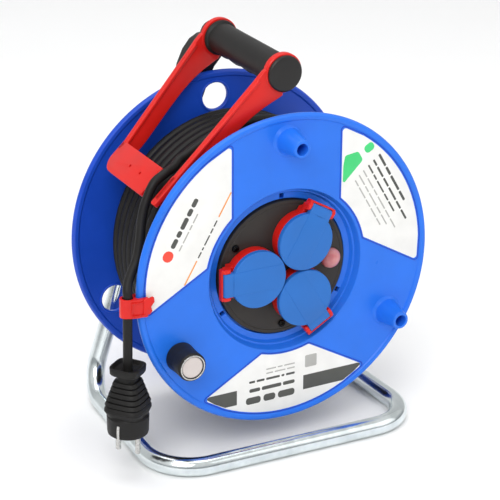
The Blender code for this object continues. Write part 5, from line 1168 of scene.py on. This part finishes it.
class REEL_OT_grip(bpy.types.Operator):
    """The rubber grip sleeve with finger waves below, and the cap at its front end"""

    bl_idname = "reel.grip"
    bl_label = "Grip"

    def execute(self, context):
        front = [(0.0216, 0.0103), (0.0216, 0.0134), (0.0218, 0.0138), (0.0221, 0.01395)]
        collar = [(0.1312, 0.0146), (0.1317, 0.0152), (0.1321, 0.0158), (0.1325, 0.0161), (0.1330, 0.0162),
                  (0.1340, 0.0162), (0.1346, 0.01615), (0.1350, 0.0159), (0.1352, 0.0154), (0.1352, 0.0103)]
        middle = [(depth, 0.0140) for depth in np.linspace(0.0226, 0.1306, 160)]
        rows, radius = np.array(front + middle + collar).T
        turn = around(96)
        below = np.exp(-((turn - math.pi) / 0.62) ** 2)[None, :]
        start, end = 0.0310, 0.1270
        share = np.clip((rows - start) / (end - start), 0.0, 1.0)
        fade = np.clip(np.minimum(share, 1.0 - share) / 0.08, 0.0, 1.0)
        wave = ((0.5 - 0.5 * np.cos(math.tau * 4.0 * share)) * 0.0022 - 0.0014) * fade
        r = radius[:, None] + wave[:, None] * below
        depth = np.broadcast_to(RIM_Y + rows[:, None], r.shape)
        rings = np.stack([r * np.sin(turn), depth, GRIP_Z + r * np.cos(turn)], axis=-1)
        sleeve = finish_mesh("grip_rubber_sleeve", rings, grid_faces(len(rows), 96, True, True),
                             "grip rubber", "guide")
        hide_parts("grip_sleeve")
        profile = rounded_outline([
            (0.0, 0.0114, 0.0), (0.0080, 0.0114, 0.0), (0.0146, 0.0114, 0.0020), (0.0160, 0.0128, 0.0008),
            (0.0160, 0.0150, 0.0004), (0.0082, 0.0150, 0.0), (0.0082, 0.0250, 0.0), (0.0, 0.0250, 0.0),
        ], 7)
        cap = turned_piece("grip_end_cap", profile, GRIP_CENTRE, "black", "frame", 96)
        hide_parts("grip_cap")
        return {"FINISHED"}


def arm_section(outer, inner, front, back, lean, edge, steps=4):
    """An arm as a loft along s: each section is a rectangle with quarter-round corners that runs
    from the inner to the outer line and from the front to the back face, leaned by depth."""
    s = np.linspace(max(outer[0][1], inner[0][1]), min(outer[-1][1], inner[-1][1]), 150)
    n_out = np.interp(s, [p[1] for p in outer], [p[0] for p in outer])
    n_in = np.interp(s, [p[1] for p in inner], [p[0] for p in inner])
    kernel = np.ones(7) / 7.0
    n_out = np.convolve(np.pad(n_out, 3, mode="edge"), kernel, "valid")
    n_in = np.convolve(np.pad(n_in, 3, mode="edge"), kernel, "valid")
    e = np.minimum(edge, np.maximum((n_out - n_in) * 0.35, 1e-5))
    roll = np.radians(np.linspace(0.0, 90.0, steps))
    cos, sin = np.cos(roll)[None], np.sin(roll)[None]
    e = e[:, None]
    outs, ins = n_out[:, None], n_in[:, None]
    n = np.concatenate([outs - e + e * sin, outs - e + e * cos, ins + e - e * sin, ins + e - e * cos], axis=1)
    d = np.concatenate([front + e - e * cos, back - e + e * sin, back - e + e * cos, front + e - e * sin],
                       axis=1)
    return guide_place(np.stack([n, np.broadcast_to(s[:, None], n.shape), d], axis=-1), lean)


def arm_piece(name, outer, inner, front, back, lean):
    """One arm of the guide, or the lip along it, closed at both ends."""
    rings = arm_section(outer, inner, front, back, lean, 0.0009)
    return finish_mesh(name, rings, capped_faces(*rings.shape[:2]), "red", "guide")


class REEL_OT_guide(bpy.types.Operator):
    """The red cord guide: two leaning arms on the grip's bar, a hook and a cross plate"""

    bl_idname = "reel.guide"
    bl_label = "Cord guide"

    def execute(self, context):
        outer_side = [(0.0128, 0.0050), (0.0160, 0.0085), (0.0157, 0.0150), (ARM_SIDE, 0.0240),
                      (ARM_SIDE, 0.1000)]
        inner_side = [(0.0118, 0.0050), (0.0115, 0.0070), (-0.0142, 0.0108), (-0.0140, 0.0150),
                      (-0.0108, 0.0240), (-0.0072, 0.0350), (-0.0045, 0.0470), (-0.0028, 0.0600),
                      (-0.0020, 0.0800), (-0.0017, 0.1150)]

        lean = (0.02, 0.10, -0.0014)
        outer = outer_side + [(ARM_SIDE, 0.1555), (0.0148, 0.1570), (0.0135, 0.1580)]
        inner = inner_side + [(-0.0008, 0.1260), (0.0010, 0.1350), (0.0040, 0.1440), (0.0072, 0.1525),
                              (0.0108, 0.1572), (0.0128, 0.1580)]
        parts = [eye_piece(0.0153, 0.0213, 0.0293), arm_piece("arm", outer, inner, 0.0159, 0.0210, lean),
                 lip_piece(0.1540, 0.0145, 0.0169, lean), cross_plate(0.0126, 0.0205, 0.002)]
        whole = joined("guide_hook_half", parts)
        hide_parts("cable_guide_front")

        lean = (0.018, 0.128, 0.1205 - 0.1415)
        outer = outer_side + [(ARM_SIDE, 0.1390), (0.0150, 0.1403), (0.0135, 0.1415)]
        inner = inner_side + [(-0.0010, 0.1250), (0.0010, 0.1320), (0.0060, 0.1390), (0.0110, 0.1415)]
        plate = cross_plate(0.0410, 0.1201, 0.016)
        for depth in (0.0635, 0.0835):
            rings = cutter_rings(oval(0.1430, depth, 0.0014, 0.0014, 24), 0.0138, 0.0170)
            cut_shape(plate, edgewise(guide_place)(rings))
        parts = [eye_piece(0.1415, 0.1355, 0.1275), arm_piece("arm", outer, inner, 0.1361, 0.1412, lean),
                 lip_piece(0.1300, 0.1347, 0.1371, lean), plate]
        whole = joined("guide_plate_half", parts)
        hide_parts("cable_guide_rear")
        return {"FINISHED"}


def lip_piece(end, front, back, lean):
    """The lip along an arm's outer side, as far as end."""
    inside = ARM_SIDE - 0.0032
    outer, inner = ([(side, 0.0200), (side, end)] for side in (ARM_SIDE, inside))
    return arm_piece("lip", outer, inner, front, back, lean)


def cross_plate(start, end, corner):
    """The flat plate at an arm's far end, from one depth to another; corner rounds its tip."""
    near, far = 0.128, 0.158
    outline = rounded_outline([(near, start, 0.0008), (far, start, 0.0020), (far, end, corner),
                               (near, end, 0.0008)], 12)
    return plate_piece("plate", outline, 0.0108, ARM_SIDE, 0.0007, edgewise(guide_place), "red", "guide")


def eye_piece(outside, inside, spigot):
    """A guide arm's eye: a turned ring with a spigot that centres it in the sleeve."""
    way = 1.0 if inside > outside else -1.0
    profile = rounded_outline([
        (0.0103, outside, 0.0004), (0.0166, outside, 0.0010), (0.0176, outside + way * 0.0012, 0.0008),
        (0.0176, inside, 0.0006), (0.0124, inside, 0.0002), (0.0124, spigot, 0.0002),
        (0.0103, spigot, 0.0002),
    ], 6)
    return turned_piece("eye", profile, GRIP_CENTRE, "red", "guide", 112, closed=True)


class REEL_OT_bracket(bpy.types.Operator):
    """The black bracket on the upright's top, and the strap that carries the axle"""

    bl_idname = "reel.bracket"
    bl_label = "Handle bracket"

    def execute(self, context):
        softened_copy("handle_bracket", "grip_bracket", "black", 0.0012)
        softened_copy("axle_carrier", "axle_strap", "black steel", 0.0005)
        return {"FINISHED"}


class REEL_OT_screws(bpy.types.Operator):
    """All pan-head screws: turned heads with a crossed recess"""

    bl_idname = "reel.screws"
    bl_label = "Screws"

    def execute(self, context):
        for number, angle in enumerate(BETWEEN, start=1):
            screw_piece("panel_screw_%d" % number, "panel_fixing_%d" % number,
                        spot(PANEL_SCREW_CIRCLE, angle), PANEL_FRONT - GAP, -1.0, 0.016, "dark steel", "drum")
            screw_piece("drum_screw_%d" % number, "drum_fixing_%d" % number, spot(DRUM_SCREW_CIRCLE, angle),
                        0.1426 + GAP, 1.0, 0.0145, "steel", "drum")
        for number in (1, 2):
            low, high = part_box("bracket_screw_%d" % number)
            centre = ((low.x + high.x) / 2.0, (low.z + high.z) / 2.0)
            seat = high.y - RIM_Y - SCREW_HEAD
            screw_piece("bracket_screw_%d" % number, "bracket_fixing_%d" % number, centre, seat, 1.0,
                        seat - 0.1625, "steel", "frame")
        return {"FINISHED"}


def screw_piece(node, name, centre, seat, way, length, finish, body):
    """A pan head on a plain shank, with a crossed recess: way points from the seat to the crown."""
    top = seat + way * SCREW_HEAD
    profile = rounded_outline([
        (0.0, top, 0.0), (0.0016, top, 0.0), (0.0030, top - way * 0.0003, 0.0008),
        (0.0034, seat + way * 0.0010, 0.0004), (0.0034, seat, 0.0002), (0.0016, seat, 0.0001),
        (0.0016, seat - way * length, 0.0003), (0.0, seat - way * length, 0.0),
    ], 5)
    piece = turned_piece(name, profile, centre, finish, body, 48)
    low, high = sorted((top - way * 0.0013, top + way * 0.001))
    for turn in (0.35, 0.35 + math.pi / 2.0):
        rings = cutter_rings(rectangle(0.0021, -0.00042, 0.00042), low, high)
        x = rings[..., 0] * math.cos(turn) - rings[..., 1] * math.sin(turn)
        z = rings[..., 0] * math.sin(turn) + rings[..., 1] * math.cos(turn)
        cut_shape(piece, np.stack([centre[0] + x, RIM_Y + rings[..., 2], centre[1] + z], axis=-1))
    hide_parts(node)


def numbered(stem, count):
    """The names stem_1, stem_2 and so on."""
    return ["%s_%d" % (stem, number) for number in range(1, count + 1)]


# soft square lamps: name, place, width in metres and power in watts
LAMPS = (("key", (-1.3, -1.5, 1.9), 1.4, 32.0), ("fill", (1.6, -1.4, 1.2), 1.8, 7.0),
         ("top", (0.0, 0.2, 2.2), 1.8, 17.0))

# the solids that are shown as they are, by their finish
CARRIED = {
    "black": ["tube_end_cap", "axle_retainer"],
    "steel": (numbered("carrier_bolt", 2) + numbered("carrier_nut", 2) + ["axle_pin", "grip_core",
                                                                          "crank_pin"]
              + numbered("plug_pin", 2) + numbered("lid_pin", 3)
              + [name + side for name in numbered("earth_clip", 3) for side in "ab"]),
    "insert black": numbered("socket_insert", 3),
    "pale": ["thermal_cutout"],
}


class REEL_OT_solids(bpy.types.Operator):
    """Finishes for the solids that are shown as they are"""

    bl_idname = "reel.solids"
    bl_label = "Carried solids"

    def execute(self, context):
        for finish, names in CARRIED.items():
            for name in names:
                node = frame["nodes"][name]
                node.data.materials.clear()
                node.data.materials.append(look(finish)[0])
        return {"FINISHED"}


class REEL_OT_stage(bpy.types.Operator):
    """A plain pale floor that curves up behind, under soft light"""

    bl_idname = "reel.stage"
    bl_label = "Stage"

    def execute(self, context):
        context.scene.view_settings.view_transform = "Standard"
        self.floor(context)
        self.sky(context)
        for name, place, size, power in LAMPS:
            data = bpy.data.lights.new(name, "AREA")
            data.size = size
            data.energy = power
            lamp = bpy.data.objects.new(name, data)
            lamp.location = place
            aim = Vector(place) - Vector((0.0, 0.0, 0.16))
            lamp.rotation_euler = aim.to_track_quat("Z", "Y").to_euler()
            context.scene.collection.objects.link(lamp)
        return {"FINISHED"}

    def floor(self, context):
        """Matt studio paper: level, then a quarter circle up at the back, then upright."""
        mat, tree, shader = new_material("studio_paper")
        where = add(tree, "ShaderNodeTexCoord").outputs["Object"]
        cloud = add(tree, "ShaderNodeTexNoise", Vector=where, Scale=per_metre(300.0),
                    Detail=2.0).outputs["Fac"]
        tint = user_colour("floor")
        paper = ramp(tree, cloud, [(0.3, shade(tint, 0.99)), (0.7, tint)])
        tree.links.new(paper, shader.inputs["Base Color"])
        shader.inputs["Roughness"].default_value = 0.9
        shader.inputs["Specular IOR Level"].default_value = 0.1
        reach, bend_start, bend, top, columns = 18.0, 3.0, 1.5, 6.0, 13
        level = np.linspace(-reach, bend_start, 10)
        rise = np.radians(np.linspace(5.0, 90.0, 18))
        curve = np.stack([bend_start + bend * np.sin(rise), bend - bend * np.cos(rise)], axis=1)
        line = np.vstack([np.stack([level, np.zeros_like(level)], axis=1), curve, [[bend_start + bend, top]]])
        across = np.linspace(-reach, reach, columns)
        grid = np.stack(np.broadcast_arrays(across, line[:, :1], line[:, 1:]), axis=-1)
        mesh = bpy.data.meshes.new("studio_floor")
        mesh.from_pydata(grid.reshape(-1, 3).tolist(), [], grid_faces(len(line), columns, False, False))
        mesh.shade_smooth()
        mesh.materials.append(mat)
        floor = bpy.data.objects.new("studio_floor", mesh)
        context.scene.collection.objects.link(floor)

    def sky(self, context):
        """Light from all sides: dim at the horizon and bright overhead, which gives metal its contrast."""
        world = bpy.data.worlds.new("studio")
        world.use_nodes = True
        tree = world.node_tree
        where = add(tree, "ShaderNodeTexCoord").outputs["Generated"]
        height = add(tree, "ShaderNodeSeparateXYZ", Vector=where).outputs["Z"]
        tone = ramp(tree, height, [(0.0, (0.30, 0.32, 0.34, 1.0)), (0.16, (0.42, 0.44, 0.46, 1.0)),
                                   (0.42, (1.0, 1.0, 1.0, 1.0)), (1.0, (1.0, 1.0, 1.0, 1.0))])
        back = tree.nodes["Background"]
        tree.links.new(tone, back.inputs["Color"])
        back.inputs["Strength"].default_value = 0.72
        context.scene.world = world


class REEL_PT_panel(bpy.types.Panel):
    """Sidebar panel with the sizes, the colours and every piece's operator"""

    bl_label = "Cord reel"
    bl_space_type = "VIEW_3D"
    bl_region_type = "UI"
    bl_category = "Cord reel"

    def draw(self, context):
        """Lists the sizes, the colours and a button for each operator."""
        sizes = context.scene.reel_sizes
        colours = context.scene.reel_colours
        for group in (sizes, colours):
            for name in group.__annotations__:
                self.layout.prop(group, name)
        for kind in OPERATORS:
            self.layout.operator(kind.bl_idname)


OPERATORS = (
    REEL_OT_camera, REEL_OT_cord, REEL_OT_winding, REEL_OT_frame, REEL_OT_front_flange, REEL_OT_rear_flange,
    REEL_OT_labels, REEL_OT_sockets, REEL_OT_lids, REEL_OT_button, REEL_OT_crank, REEL_OT_grip, REEL_OT_guide,
    REEL_OT_bracket, REEL_OT_screws, REEL_OT_solids, REEL_OT_stage,
)
CLASSES = (ReelSizes, ReelColours) + OPERATORS + (REEL_PT_panel,)


def register():
    """Adds every class, and the two groups of properties to the scene."""
    for kind in CLASSES:
        bpy.utils.register_class(kind)
    bpy.types.Scene.reel_sizes = PointerProperty(type=ReelSizes)
    bpy.types.Scene.reel_colours = PointerProperty(type=ReelColours)


def unregister():
    """Takes the same things out again, in the opposite order."""
    del bpy.types.Scene.reel_colours
    del bpy.types.Scene.reel_sizes
    for kind in reversed(CLASSES):
        bpy.utils.unregister_class(kind)


def main():
    """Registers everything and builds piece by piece."""
    register()
    for kind in OPERATORS:
        group, name = kind.bl_idname.split(".")
        getattr(getattr(bpy.ops, group), name)()


if __name__ == "__main__":
    main()
